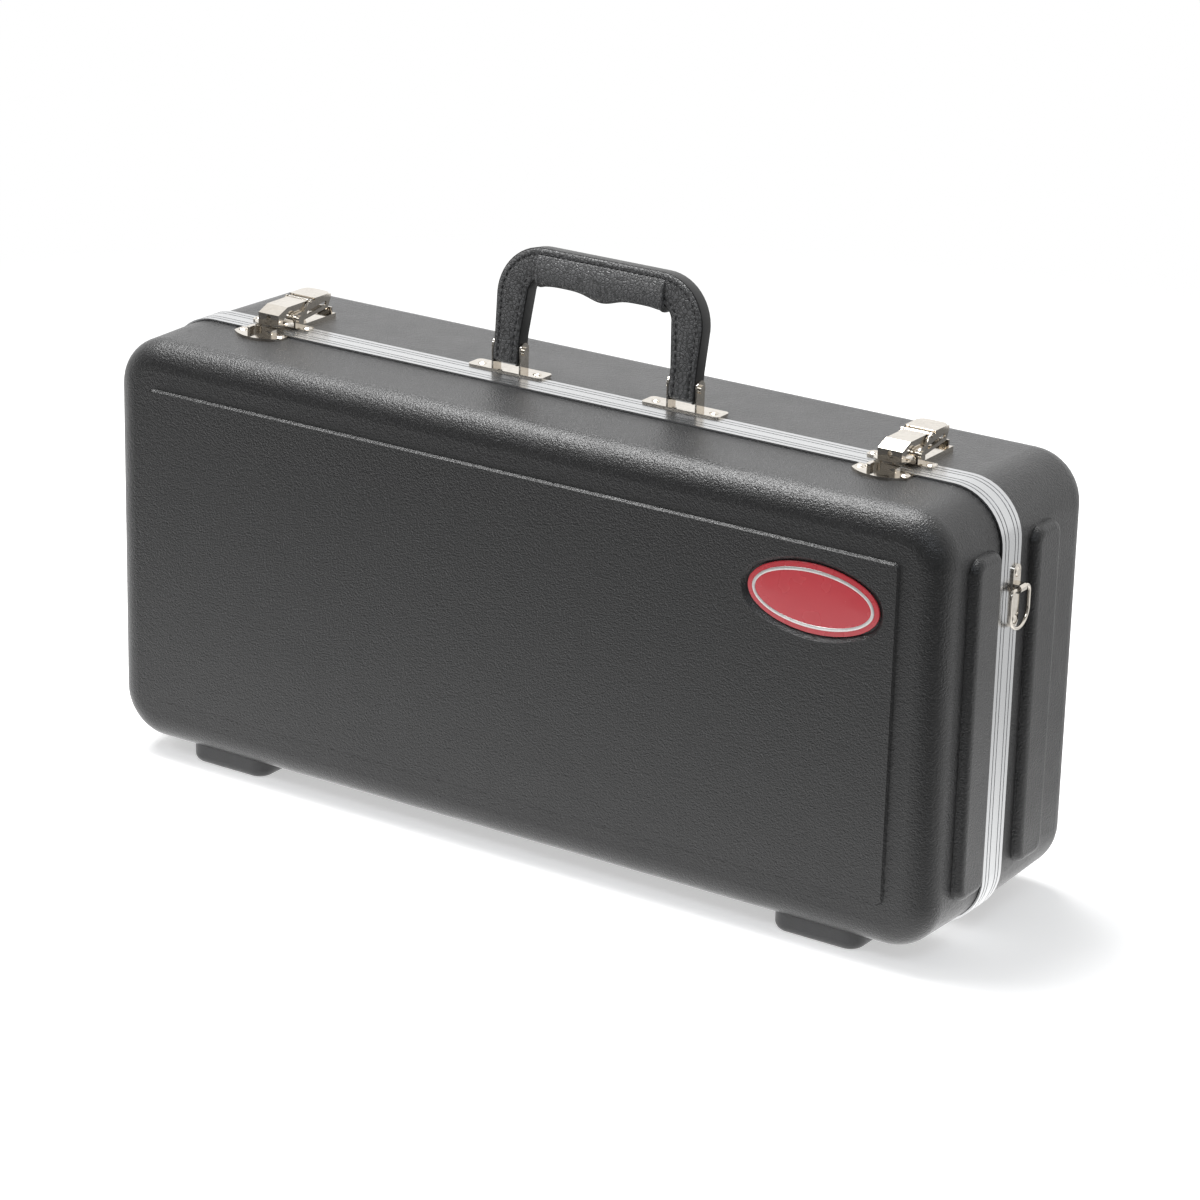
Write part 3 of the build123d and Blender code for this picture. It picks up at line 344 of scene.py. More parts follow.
# %% Pebbles and lines
def make_pebble_grain():
    """Moulded leather grain: rounded pebbles of about 1/Scale, roughened by a finer noise."""
    sockets = {"Vector": None, "Scale": 800.0}
    group, given, out = new_group("pebble_grain", sockets, ["Height", "Fleck"])
    cells = new_node(group, "ShaderNodeTexVoronoi", {"feature": "SMOOTH_F1"}, Smoothness=0.7,
                     Vector=given["Vector"], Scale=given["Scale"])
    finer = math_node(group, "MULTIPLY", given["Scale"], 0.55)
    fine = noise(group, given["Vector"], finer, Detail=3.0, Roughness=0.6)
    rounded = math_node(group, "MULTIPLY", cells.outputs["Distance"], 0.55)
    put(group, out["Height"], math_node(group, "SUBTRACT", fine, rounded))
    put(group, out["Fleck"], fine)
    return group


def make_rolled_lines():
    """Lines along the way a metal was drawn, where its material stretches the coordinates."""
    sockets = {"Vector": None, "Scale": 900.0}
    group, given, out = new_group("rolled_lines", sockets, ["Height", "Streak"])
    fine = noise(group, given["Vector"], given["Scale"], Detail=2.0, Roughness=0.55)
    wider = math_node(group, "MULTIPLY", given["Scale"], 0.12)
    put(group, out["Height"], fine)
    put(group, out["Streak"], noise(group, given["Vector"], wider, Detail=1.0))
    return group


pebble_grain = make_pebble_grain()
rolled_lines = make_rolled_lines()
print("groups:", pebble_grain.name, rolled_lines.name)

# %% [markdown]
# ### Handling and leather
# Nothing that is carried stays evenly glossy: hands leave large soft clouds and small
# smudges, which here are two noises multiplied. Leatherette is pressed with flat islands
# and fine creases between them, which is a Voronoi pattern's distance to its edges.
# Painted masks could follow real wear, but this case is new.

# %% Haze and pores
HAZE_CLEAN, HAZE_DULL = 0.15, 0.40
CREASE_WIDE = 0.22


def make_handling_haze():
    """Large soft clouds and small smudges, as hands leave them: 0 clean, 1 dull."""
    sockets = {"Vector": None, "Scale": 9.0}
    group, given, out = new_group("handling_haze", sockets, ["Haze"])
    clouds = noise(group, given["Vector"], given["Scale"], Detail=4.0, Roughness=0.5)
    smaller = math_node(group, "MULTIPLY", given["Scale"], 7.0)
    smudges = noise(group, given["Vector"], smaller, Detail=2.0)
    mixed = math_node(group, "MULTIPLY", clouds, smudges)
    put(group, out["Haze"], ramp(group, mixed, HAZE_CLEAN, HAZE_DULL))
    return group


def make_leather_pores():
    """Leatherette: flat islands between fine creases, on slightly uneven ground, and a mask of the
    creases for painted shade.
    """
    sockets = {"Vector": None, "Scale": 620.0}
    group, given, out = new_group("leather_pores", sockets, ["Height", "CreaseShade"])
    wider = math_node(group, "MULTIPLY", given["Scale"], 0.4)
    ground = math_node(group, "MULTIPLY", noise(group, given["Vector"], wider, Detail=2.0), 0.8)
    islands = new_node(group, "ShaderNodeTexVoronoi", {"feature": "DISTANCE_TO_EDGE"},
                       Vector=given["Vector"], Scale=given["Scale"])
    crease = ramp(group, islands.outputs["Distance"], 0.0, CREASE_WIDE, smooth=True)
    put(group, out["Height"], math_node(group, "ADD", crease, ground))
    # The crease mask is also given out on its own, to paint shade into the creases.
    put(group, out["CreaseShade"], crease)
    return group


handling_haze = make_handling_haze()
leather_pores = make_leather_pores()
print("groups:", handling_haze.name, leather_pores.name)

# %% [markdown]
# ### Helpers for materials
# Every material starts with one Principled shader and the piece's own coordinates, which
# move with the piece, so a pattern never slides when the lid opens. A mask then drives
# the colour, the roughness or a bump. Plain values would be quicker, but a surface that
# is the same everywhere looks like a computer's.


# %% Start a material and use a mask
def start_material(name, stretch=(1.0, 1.0, 1.0)):
    """A material with one Principled shader, and the object's own coordinates, stretched."""
    material = bpy.data.materials.new(name)
    material.use_nodes = True
    tree = material.node_tree
    shader = tree.nodes["Principled BSDF"]
    coordinates = new_node(tree, "ShaderNodeTexCoord")
    mapping = new_node(tree, "ShaderNodeMapping", Scale=stretch)
    put(tree, mapping.inputs["Vector"], coordinates.outputs["Object"])
    return material, tree, shader, mapping.outputs["Vector"]


def use_group(tree, group, vector, scale):
    node = tree.nodes.new("ShaderNodeGroup")
    node.node_tree = group
    put(tree, node.inputs["Vector"], vector)
    node.inputs["Scale"].default_value = scale
    return node.outputs


def colour_by(tree, shader, mask, first, second):
    """The base colour goes from first to second as the mask goes from 0 to 1."""
    node = new_node(tree, "ShaderNodeMix", {"data_type": "RGBA"}, Factor=mask)
    node.inputs[6].default_value = (*first, 1.0)
    node.inputs[7].default_value = (*second, 1.0)
    put(tree, shader.inputs["Base Color"], node.outputs[2])


def roughen_by(tree, shader, mask, low, high):
    """The roughness goes from low to high as the mask goes from 0 to 1."""
    put(tree, shader.inputs["Roughness"], ramp(tree, mask, 0.0, 1.0, low, high))


def bump(tree, shader, height, distance, strength=1.0, under=None):
    """Pushes the surface in and out by height times distance, in metres."""
    node = new_node(tree, "ShaderNodeBump")
    node.inputs["Distance"].default_value = distance
    node.inputs["Strength"].default_value = strength
    put(tree, node.inputs["Height"], height)
    if under:
        put(tree, node.inputs["Normal"], under)
    put(tree, shader.inputs["Normal"], node.outputs["Normal"])
    return node.outputs["Normal"]


def dress(nodes, material):
    """Gives CAD nodes this material in their own slots."""
    for name in nodes:
        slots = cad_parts[name].data.materials
        slots.clear()
        slots.append(material)


print("material helpers ready")

# %% [markdown]
# ## Leather-grained ABS
# The shells are vacuum-formed sheet with a pebbled skin, so the gloss is broken into
# sparks where the light rakes over it. The grain is finer than a millimetre, which bump
# gives well: real geometry of that size would be millions of faces.


# %% Shell and feet plastics
def make_abs():
    material, tree, shader, where = start_material("grained_abs")
    grain = use_group(tree, pebble_grain, where, 1250.0)
    haze = use_group(tree, handling_haze, where, 7.0)
    colour_by(tree, shader, grain["Fleck"], (0.006, 0.006, 0.0062), (0.015, 0.015, 0.0153))
    roughen_by(tree, shader, haze["Haze"], 0.30, 0.37)
    bump(tree, shader, grain["Height"], 0.0004, 1.0)
    return material


def make_foot_plastic():
    material, tree, shader, where = start_material("satin_foot")
    grain = use_group(tree, pebble_grain, where, 1300.0)
    haze = use_group(tree, handling_haze, where, 20.0)
    colour_by(tree, shader, haze["Haze"], (0.036, 0.036, 0.037), (0.054, 0.054, 0.055))
    roughen_by(tree, shader, haze["Haze"], 0.5, 0.62)
    bump(tree, shader, grain["Height"], 0.0002, 0.5)
    return material


grained_abs = make_abs()
satin_foot = make_foot_plastic()
dress(["lid_shell", "base_shell"], grained_abs)
dress(["lid_feet", "base_feet"], satin_foot)
print("plastics done")

# %% [markdown]
# ## Metals
# The rims are drawn aluminium: the die leaves fine lines along their length, which runs
# round the case, so the noise is fine only from front to back. An anisotropic shader
# could blur them, but here the lines themselves show in a close view. The fittings are
# stamped steel under bright nickel, a little warm, with faint ripples and tiny scratches.
# Pins and the strap inside the handle are plain steel.

# %% Rim, nickel and steel
ALONG_RIM = (0.004, 1.0, 0.004)
ALONG_PIN = (1.0, 0.05, 0.05)


def make_rim_metal():
    material, tree, shader, where = start_material("drawn_aluminium", ALONG_RIM)
    lines = use_group(tree, rolled_lines, where, 2200.0)
    shader.inputs["Metallic"].default_value = 1.0
    colour_by(tree, shader, lines["Streak"], (0.49, 0.495, 0.50), (0.53, 0.535, 0.54))
    roughen_by(tree, shader, lines["Height"], 0.23, 0.29)
    bump(tree, shader, lines["Height"], 0.00001, 0.5)
    return material


def make_nickel():
    material, tree, shader, where = start_material("bright_nickel")
    haze = use_group(tree, handling_haze, where, 60.0)
    scratches = use_group(tree, rolled_lines, where, 500.0)
    shader.inputs["Metallic"].default_value = 1.0
    colour_by(tree, shader, haze["Haze"], (0.62, 0.58, 0.52), (0.54, 0.50, 0.445))
    roughen_by(tree, shader, haze["Haze"], 0.07, 0.16)
    bump(tree, shader, scratches["Height"], 0.00008, 0.35)
    return material


def make_pin_steel():
    material, tree, shader, where = start_material("turned_steel", ALONG_PIN)
    lines = use_group(tree, rolled_lines, where, 3000.0)
    shader.inputs["Metallic"].default_value = 1.0
    colour_by(tree, shader, lines["Streak"], (0.50, 0.50, 0.51), (0.62, 0.62, 0.63))
    roughen_by(tree, shader, lines["Height"], 0.28, 0.4)
    bump(tree, shader, lines["Height"], 0.00004, 0.5)
    return material


print("rim, nickel and steel described")

# %% Dress the hard pieces
drawn_aluminium = make_rim_metal()
bright_nickel = make_nickel()
turned_steel = make_pin_steel()
dress(["lid_rim", "base_rim"], drawn_aluminium)
pairs = ("hinge_lid_leaf", "hinge_base_leaf", "latch_base", "latch_pin", "latch_lever",
         "latch_hasp", "hasp_pin", "strike", "handle_plate", "handle_pin", "ring_bracket",
         "strap_ring")
rivet_sets = [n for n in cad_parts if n.endswith("_rivets")]
dress([f"{n}_{side}" for n in pairs for side in SIDES] + rivet_sets, bright_nickel)
dress([f"hinge_pin_{side}" for side in SIDES] + ["handle_core"], turned_steel)
print("metals done, rivet sets:", rivet_sets)

# %% [markdown]
# ## The badge
# A red enamelled oval sits in a shallow moulded recess on the lid, with a bright line a
# little inside its edge. A scaled cylinder would give a flat tin with a sharp edge. The
# plate is a stack of ovals instead: a rolled-over edge, then a low dome. First come its
# size, which is taken from the CAD, and the shape of its dome.

# %% Measure the badge
badge_low, badge_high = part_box("badge")
badge_middle = (badge_low + badge_high) / 2
badge_half = (badge_high - badge_low) / 2
BADGE_STEPS = 160
DOME = 0.7 * MM


def oval_point(inset, depth, step):
    """A point at this inset from the badge's edge, and this far in front of its back."""
    turn = 2 * math.pi * step / BADGE_STEPS
    return Vector((badge_middle.x + (badge_half.x - inset) * math.cos(turn),
                   badge_high.y - depth,
                   badge_middle.z + (badge_half.z - inset) * math.sin(turn)))


def dome_depth(inset):
    """How far forwards the enamel stands at this distance from the edge."""
    thickness = badge_high.y - badge_low.y
    share = min(1.0, inset / badge_half.z)
    return thickness - DOME * (1.0 - share) ** 2


print("badge", [round(2000 * v, 1) for v in badge_half], "mm")

# %% [markdown]
# ### Rings into a skin
# A stack of rings becomes a skin when each ring is joined to the next with quads. Bridge
# Edge Loops does this by hand. A script can count the corners instead. The doubles are
# then merged and the faces turned outwards, which shading and the export both need.


# %% Join rings and turn faces outwards
def loft(rings, close_ends=True):
    """Joins rings of the same number of points into a closed skin."""
    count = len(rings[0])
    verts = [p for ring in rings for p in ring]
    faces = []
    for r in range(len(rings) - 1):
        for i in range(count):
            j = (i + 1) % count
            faces.append((r * count + i, r * count + j, (r + 1) * count + j, (r + 1) * count + i))
    if close_ends:
        faces.append(tuple(reversed(range(count))))
        faces.append(tuple((len(rings) - 1) * count + i for i in range(count)))
    return verts, faces


def face_outwards(piece):
    """Welds doubles and turns every face outwards."""
    work = bmesh.new()
    work.from_mesh(piece.data)
    bmesh.ops.remove_doubles(work, verts=work.verts, dist=1e-6)
    bmesh.ops.recalc_face_normals(work, faces=work.faces)
    work.to_mesh(piece.data)
    work.free()
    return piece


print("loft helpers ready")

# %% [markdown]
# ### Plate and line
# The plate's rings go from its back round the rolled edge and in over the dome. The line
# is a second piece, so that it has a metal of its own: a thin raised band that follows
# the dome and reaches a little under it.

# %% Stack the plate and lay its line
EDGE_ROUND = 0.35 * MM
DOME_INSETS_MM = (0.4, 1.0, 1.8, 2.8, 4.2, 6.0, 8.5, 11.0, 13.5, 16.0, 18.0)
LINE_IN = 3.1 * MM
LINE_WIDE = 1.9 * MM
LINE_SINK = 0.2 * MM
LINE_SIDE = 0.1 * MM
LINE_TOP = 0.22 * MM
LINE_ROUND = 0.25 * MM

edge_high = dome_depth(0)
edge_roll = [(EDGE_ROUND, 0.0), (0.0, 0.3 * MM), (0.0, edge_high - EDGE_ROUND),
             (0.15 * MM, edge_high - 0.1 * MM)]
profile = edge_roll + [(i * MM, dome_depth(i * MM)) for i in DOME_INSETS_MM]
rings = [[oval_point(i, d, s) for s in range(BADGE_STEPS)] for i, d in profile]
badge_plate = face_outwards(mesh_object("badge_plate", *loft(rings)))

line_end = LINE_IN + LINE_WIDE
line_profile = [(LINE_IN, -LINE_SINK), (LINE_IN, LINE_SIDE), (LINE_IN + LINE_ROUND, LINE_TOP),
                (line_end - LINE_ROUND, LINE_TOP), (line_end, LINE_SIDE), (line_end, -LINE_SINK)]
rings = [[oval_point(i, dome_depth(i) + lift, s) for s in range(BADGE_STEPS)]
         for i, lift in line_profile]
badge_line = face_outwards(mesh_object("badge_line", *loft(rings + rings[:1], close_ends=False)))
print("plate and line:", len(badge_plate.data.polygons), len(badge_line.data.polygons), "faces")

# %% [markdown]
# ### Enamel and silver
# Enamel has its colour under a clear gloss. One glossy red would look like plastic, so
# the shader's Coat lies over a rougher red, with the very slight ripple of something
# poured. The line is bare plate, duller than a mirror.


# %% Enamel and plate the badge
def make_enamel():
    material, tree, shader, where = start_material("red_enamel")
    haze = use_group(tree, handling_haze, where, 12.0)
    ripple = noise(tree, where, 350.0, Detail=1.0)
    colour_by(tree, shader, haze["Haze"], (0.42, 0.026, 0.036), (0.43, 0.028, 0.038))
    roughen_by(tree, shader, haze["Haze"], 0.25, 0.36)
    shader.inputs["Coat Weight"].default_value = 0.4
    shader.inputs["Coat Roughness"].default_value = 0.08
    bump(tree, shader, ripple, 0.00006, 0.4)
    return material


def make_badge_silver():
    material, tree, shader, where = start_material("badge_silver")
    haze = use_group(tree, handling_haze, where, 120.0)
    shader.inputs["Metallic"].default_value = 0.7
    colour_by(tree, shader, haze["Haze"], (0.66, 0.64, 0.63), (0.56, 0.54, 0.53))
    roughen_by(tree, shader, haze["Haze"], 0.3, 0.42)
    return material


badge_plate.data.materials.append(make_enamel())
badge_line.data.materials.append(make_badge_silver())
for piece in (badge_plate, badge_line):
    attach(piece, "lid")
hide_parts("badge")
print("badge rides on the lid")

# %% [markdown]
# ## The handle
# The handle is a spring-steel strap under a stitched cover. It leans back a little. A
# curve with a bevel could sweep it, but the cover is wider at the corners than along its
# legs, so its outer and inner edges are two paths with the same number of stations, and
# a rounded section is stretched between them. The handle's own frame keeps this simple:
# u runs along the case, v up the handle, and n comes out of its front face.

# %% The handle's own frame and paths
HANDLE_FOOT = Vector((7.5, 0.15, 273.0)) * MM
HANDLE_UP = Vector((0.0, 0.1305, 0.9914))
HANDLE_OUT = Vector((0.0, -0.9914, 0.1305))
PIVOT_V = 13.0
OUTER = {"foot": 67.3, "shoulder": 68.3, "top": 74.0, "radius": 29.0}
INNER = {"foot": 50.7, "shoulder": 48.3, "top": 57.0, "radius": 10.0}
COVER_FOOT = 4.6
LEG_BEND = 22.0
COVER_HALF = 5.5


def handle_point(u, v, n):
    """A point of the handle's own frame, in millimetres, as a place in the case's frame."""
    along = Vector((u * MM, 0, 0))
    return HANDLE_FOOT + along + HANDLE_UP * ((v - PIVOT_V) * MM) + HANDLE_OUT * (n * MM)


def half_path(edge, foot_steps=4, leg_steps=8, corner_steps=14, top_steps=12):
    """Stations of the right half, from the foot up to the middle of the bar."""
    corner_u = edge["shoulder"] - edge["radius"]
    corner_v = edge["top"] - edge["radius"]
    points = []
    for i in range(foot_steps):
        points.append((edge["foot"], COVER_FOOT + (LEG_BEND - COVER_FOOT) * i / foot_steps))
    for i in range(leg_steps):
        t = i / leg_steps
        points.append((edge["foot"] + (edge["shoulder"] - edge["foot"]) * t,
                       LEG_BEND + (corner_v - LEG_BEND) * t))
    for i in range(corner_steps):
        turn = math.pi / 2 * i / corner_steps
        points.append((corner_u + edge["radius"] * math.cos(turn),
                       corner_v + edge["radius"] * math.sin(turn)))
    for i in range(top_steps + 1):
        points.append((corner_u * (1 - i / top_steps), edge["top"]))
    return points


def whole_path(edge):
    right = half_path(edge)
    return right + [(-u, v) for u, v in reversed(right[:-1])]


outer_path = whole_path(OUTER)
inner_path = whole_path(INNER)
print(len(outer_path), "stations along the handle")

# %% [markdown]
# ### The cover
# The two faces of the cover are pressed together at the stitches, so its section has a
# shallow groove under each seam, a rounded edge outside it and a low crown between them.
# A bump could fake the groove, but the light catches it along the whole leg.

# %% Sweep the cover
EDGE_SOFT = 1.9
SEAM_IN = 3.3
SEAM_HALF = 0.9
SEAM_DEEP = 0.45
COVER_CROWN = 0.25


def cover_section():
    """(share from outer to inner edge, n) round the section, with a groove at each seam."""
    width = OUTER["foot"] - INNER["foot"]
    front = [(0.0, COVER_HALF - EDGE_SOFT), (0.22, COVER_HALF - 0.75),
             (EDGE_SOFT * 0.55, COVER_HALF - 0.22), (EDGE_SOFT, COVER_HALF),
             (SEAM_IN - SEAM_HALF, COVER_HALF + 0.05), (SEAM_IN, COVER_HALF - SEAM_DEEP),
             (SEAM_IN + SEAM_HALF, COVER_HALF + 0.05), (SEAM_IN + 2.4, COVER_HALF + COVER_CROWN)]
    back_half = [(width - a, n) for a, n in reversed(front)]
    face = front + back_half
    return [(a / width, n) for a, n in face + [(a, -n) for a, n in reversed(face)]]


def swept(outer, inner, section):
    """Stretches the section from the outer to the inner path at every station."""
    rings = []
    for (ou, ov), (iu, iv) in zip(outer, inner):
        rings.append([handle_point(ou + (iu - ou) * a, ov + (iv - ov) * a, n) for a, n in section])
    return rings


cover_rings = swept(outer_path, inner_path, cover_section())
handle_cover = face_outwards(mesh_object("handle_cover_skin", *loft(cover_rings)))
print("cover has", len(handle_cover.data.polygons), "faces")

# %% [markdown]
# ### Edge paint
# The cut edges of the cover are painted and burnished, which leaves a smooth dark band
# round the outside and inside of the arch. A second material on some of the cover's faces
# would follow its rounding and look like tape, so each band is a thin strip of its own
# that stands just proud.

# %% Lay the painted edges
EDGE_HALF = 4.4
EDGE_PROUD = 0.3
EDGE_SUNK = 0.8
EDGE_CHAMFER = 0.5


def edge_strip(name, path, outwards):
    """A thin bar along one edge path; outwards is 1 for the outer path and -1 for the inner."""
    side = EDGE_PROUD * 0.7
    section = [(-EDGE_SUNK, EDGE_HALF), (side, EDGE_HALF), (EDGE_PROUD, EDGE_HALF - EDGE_CHAMFER),
               (EDGE_PROUD, EDGE_CHAMFER - EDGE_HALF), (side, -EDGE_HALF), (-EDGE_SUNK, -EDGE_HALF)]
    rings = []
    for i, (u, v) in enumerate(path):
        before = path[max(0, i - 1)]
        after = path[min(len(path) - 1, i + 1)]
        along = Vector((after[0] - before[0], after[1] - before[1])).normalized()
        away = Vector((along.y, -along.x)) * outwards
        rings.append([handle_point(u + away.x * d, v + away.y * d, n) for d, n in section])
    return face_outwards(mesh_object(name, *loft(rings)))


outer_edge = edge_strip("handle_edge_outer", outer_path, 1.0)
inner_edge = edge_strip("handle_edge_inner", inner_path, -1.0)
print("edge strips laid")

# %% [markdown]
# ### The grip
# A padded sleeve hugs the bar from below. Its underside has a hollow for each pair of
# fingers and a ridge between them, its ends are turned over into a welt, and its upper
# edges are sewn to the cover. Sculpting would be the artist's way. Here it is lofted from
# U-shaped sections along the bar, whose lowest points follow a curve, because that can be
# written down in a few sizes.

# %% Loft the grip
GRIP_HALF = 42.5
GRIP_TOP = 70.4
GRIP_OUT = 7.7
GRIP_UNDER = 52.9
GRIP_TURN = 56.8
RIDGE_DROP, RIDGE_WIDE = 3.9, 10.5
END_DROP, END_WIDE = 1.3, 7.0
UNDER_STEPS = 7
WELT = 2.6


def grip_underside(u):
    """Height of the sleeve's underside: a soft wave with a ridge in the middle."""
    ridge = RIDGE_DROP * math.exp(-(u / RIDGE_WIDE) ** 2)
    ends = END_DROP * math.exp(-((abs(u) - GRIP_HALF) / END_WIDE) ** 2)
    return GRIP_UNDER - ridge - ends


def grip_section(u, swell):
    """(n, v) round one section; swell widens the sleeve at the welt and thins it beside."""
    low = grip_underside(u) - swell
    out = GRIP_OUT + swell
    points = [(3.0, GRIP_TOP - 1.5), (COVER_HALF - 0.1, GRIP_TOP - 0.1),
              (COVER_HALF + 0.35, GRIP_TOP - 0.3), (out - 1.45, GRIP_TOP - 1.6),
              (out - 0.7, GRIP_TOP - 3.9), (out - 0.2, GRIP_TOP - 7.0),
              (out, 60.5), (out - 0.4, 57.5)]
    for i in range(1, UNDER_STEPS):
        turn = math.pi / 2 * i / UNDER_STEPS
        points.append(((out - 0.7) * math.cos(turn) ** 0.8,
                       low + (GRIP_TURN - low) * (1 - math.sin(turn) ** 0.9)))
    points.append((0.0, low))
    return points + [(-n, v) for n, v in reversed(points[:-1])]


def grip_stations():
    """(u, swell) from the left end to the right: a welt at each end, and padding between."""
    middle = [u * 2.5 for u in range(-15, 16)]
    welt = [(GRIP_HALF, -0.8), (GRIP_HALF - 0.25, 0.1), (GRIP_HALF - 1.0, 0.45),
            (GRIP_HALF - 1.9, 0.4), (GRIP_HALF - WELT, -0.15), (GRIP_HALF - WELT - 0.8, -0.1)]
    return [(-u, s) for u, s in welt] + [(u, 0.0) for u in middle] + list(reversed(welt))


grip_rings = [[handle_point(u, v, n) for n, v in grip_section(u, s)] for u, s in grip_stations()]
grip = face_outwards(mesh_object("grip_sleeve", *loft(grip_rings)))
print("grip has", len(grip.data.polygons), "faces")

# %% [markdown]
# ### Soften both skins
# Padding has no flat facets. More stations would help, but one step of Subdivision
# Surface rounds every section at once and keeps the lists above short.

# %% Round both skins with a subdivision
for piece in (handle_cover, grip):
    smoother = piece.modifiers.new("rounder", "SUBSURF")
    smoother.levels = 1
    smoother.render_levels = 1
print("subdivided:", handle_cover.name, grip.name)

# %% [markdown]
# ### Leatherette, paint and thread
# The cover and the grip are the same pressed leatherette, a little finer on the padded grip, where
# it is stretched, and painted a little paler there as painted light, for the light that falls on
# its padded middle. One function makes both, so that they stay alike.
# The creases are painted darker than the islands, as painted shade, and the thread is darker still.


# %% Leatherette, edge paint and thread
def make_leatherette(name, dark, light, pore_scale):
    material, tree, shader, where = start_material(name)
    pores = use_group(tree, leather_pores, where, pore_scale)
    haze = use_group(tree, handling_haze, where, 45.0)
    # Painted shade: the creases take the dark colour and the islands the light one.
    colour_by(tree, shader, pores["CreaseShade"], dark, light)
    roughen_by(tree, shader, haze["Haze"], 0.42, 0.58)
    bump(tree, shader, pores["Height"], 0.00028, 0.8)
    return material


def make_edge_paint():
    material, tree, shader, where = start_material("edge_paint")
    haze = use_group(tree, handling_haze, where, 90.0)
    colour_by(tree, shader, haze["Haze"], (0.010, 0.010, 0.010), (0.018, 0.018, 0.018))
    roughen_by(tree, shader, haze["Haze"], 0.36, 0.5)
    shader.inputs["Specular IOR Level"].default_value = 0.25
    return material


def make_thread():
    material, tree, shader, where = start_material("black_thread")
    twist = use_group(tree, rolled_lines, where, 2600.0)
    colour_by(tree, shader, twist["Streak"], (0.006, 0.006, 0.007), (0.014, 0.014, 0.015))
    roughen_by(tree, shader, twist["Height"], 0.45, 0.7)
    return material


cover_leather = make_leatherette(
    "cover_leather", (0.030, 0.030, 0.030), (0.074, 0.074, 0.075), 440.0)
# Painted light: the grip's colours are a little paler than the cover's, for the light on its padded
# middle.
grip_leather_painted_light = make_leatherette(
    "grip_leather_painted_light", (0.038, 0.038, 0.038), (0.084, 0.084, 0.085), 480.0)
edge_paint = make_edge_paint()
thread = make_thread()
handle_cover.data.materials.append(cover_leather)
grip.data.materials.append(grip_leather_painted_light)
for strip in (outer_edge, inner_edge):
    strip.data.materials.append(edge_paint)
print("leathers done")

# %% [markdown]
# ### Stitches
# One stitch is a short capsule that dips into the leather at both ends. An array along a
# curve bends every copy, and a stitch is straight, so Geometry Nodes lays it along the
# seams instead. The seams are curves, and the stitch's sizes are named inputs.


# %% Build the stitch layer
def make_stitch_tree():
    tree = bpy.data.node_groups.new("stitch_layer", "GeometryNodeTree")
    for label, kind in (("Geometry", "NodeSocketGeometry"), ("Pitch", "NodeSocketFloat"),
                        ("Length", "NodeSocketFloat"), ("Thickness", "NodeSocketFloat"),
                        ("Thread", "NodeSocketMaterial")):
        tree.interface.new_socket(label, in_out="INPUT", socket_type=kind)
    tree.interface.new_socket("Geometry", in_out="OUTPUT", socket_type="NodeSocketGeometry")
    given = tree.nodes.new("NodeGroupInput").outputs
    points = new_node(tree, "GeometryNodeCurveToPoints", {"mode": "LENGTH"})
    put(tree, points.inputs["Curve"], given["Geometry"])
    put(tree, points.inputs["Length"], given["Pitch"])
    capsule = new_node(tree, "GeometryNodeMeshUVSphere", Segments=6, Rings=6, Radius=0.5)
    size = new_node(tree, "ShaderNodeCombineXYZ")
    put(tree, size.inputs["X"], given["Thickness"])
    put(tree, size.inputs["Y"], given["Thickness"])
    put(tree, size.inputs["Z"], given["Length"])
    lay = new_node(tree, "GeometryNodeInstanceOnPoints")
    put(tree, lay.inputs["Points"], points.outputs["Points"])
    put(tree, lay.inputs["Instance"], capsule.outputs["Mesh"])
    put(tree, lay.inputs["Rotation"], points.outputs["Rotation"])
    put(tree, lay.inputs["Scale"], size.outputs["Vector"])
    real = new_node(tree, "GeometryNodeRealizeInstances")
    put(tree, real.inputs["Geometry"], lay.outputs["Instances"])
    finish = new_node(tree, "GeometryNodeSetMaterial")
    put(tree, finish.inputs["Geometry"], real.outputs["Geometry"])
    put(tree, finish.inputs["Material"], given["Thread"])
    put(tree, tree.nodes.new("NodeGroupOutput").inputs["Geometry"], finish.outputs["Geometry"])
    return tree


stitch_tree = make_stitch_tree()
print("stitch tree:", len(stitch_tree.nodes), "nodes")

# %% [markdown]
# ### From seams to a mesh
# The tree ends in Realize Instances, and the evaluated result is copied into a plain mesh,
# because an export would drop instances. A modifier's inputs are set by their socket's
# identifier, which stays the same when a socket is renamed.


# %% Turn seams into stitches
def seams_to_stitches(name, seams, tree, values):
    """Turns seam polylines into one plain mesh of stitches."""
    curve = bpy.data.curves.new(name + "_seams", "CURVE")
    curve.dimensions = "3D"
    for seam in seams:
        spline = curve.splines.new("POLY")
        spline.points.add(len(seam) - 1)
        for point, place in zip(spline.points, seam):
            point.co = (*place, 1.0)
    holder = bpy.data.objects.new(name + "_seams", curve)
    bpy.context.scene.collection.objects.link(holder)
    layer = holder.modifiers.new("stitches", "NODES")
    layer.node_group = tree
    for item in tree.interface.items_tree:
        if item.in_out == "INPUT" and item.name in values:
            layer[item.identifier] = values[item.name]
    graph = bpy.context.evaluated_depsgraph_get()
    mesh = bpy.data.meshes.new_from_object(holder.evaluated_get(graph))
    bpy.data.objects.remove(holder)
    mesh.name = name
    piece = bpy.data.objects.new(name, mesh)
    bpy.context.scene.collection.objects.link(piece)
    return piece


print("seam helper ready")

# %% [markdown]
# ### Sew the handle
# A seam runs along the outer edge from foot to foot, and one along the inner edge of each
# leg up to the grip, on both faces. They keep one distance from the edge, in the groove
# that the cover's section has for them.

# %% Sew the handle
STITCH_LONG = 2.7 * MM
STITCH_PITCH = 3.9 * MM
STITCH_THICK = 1.2 * MM
STITCH_SUNK = 0.25
SEAM_START = 3
SEAM_OVERLAP = 0.5


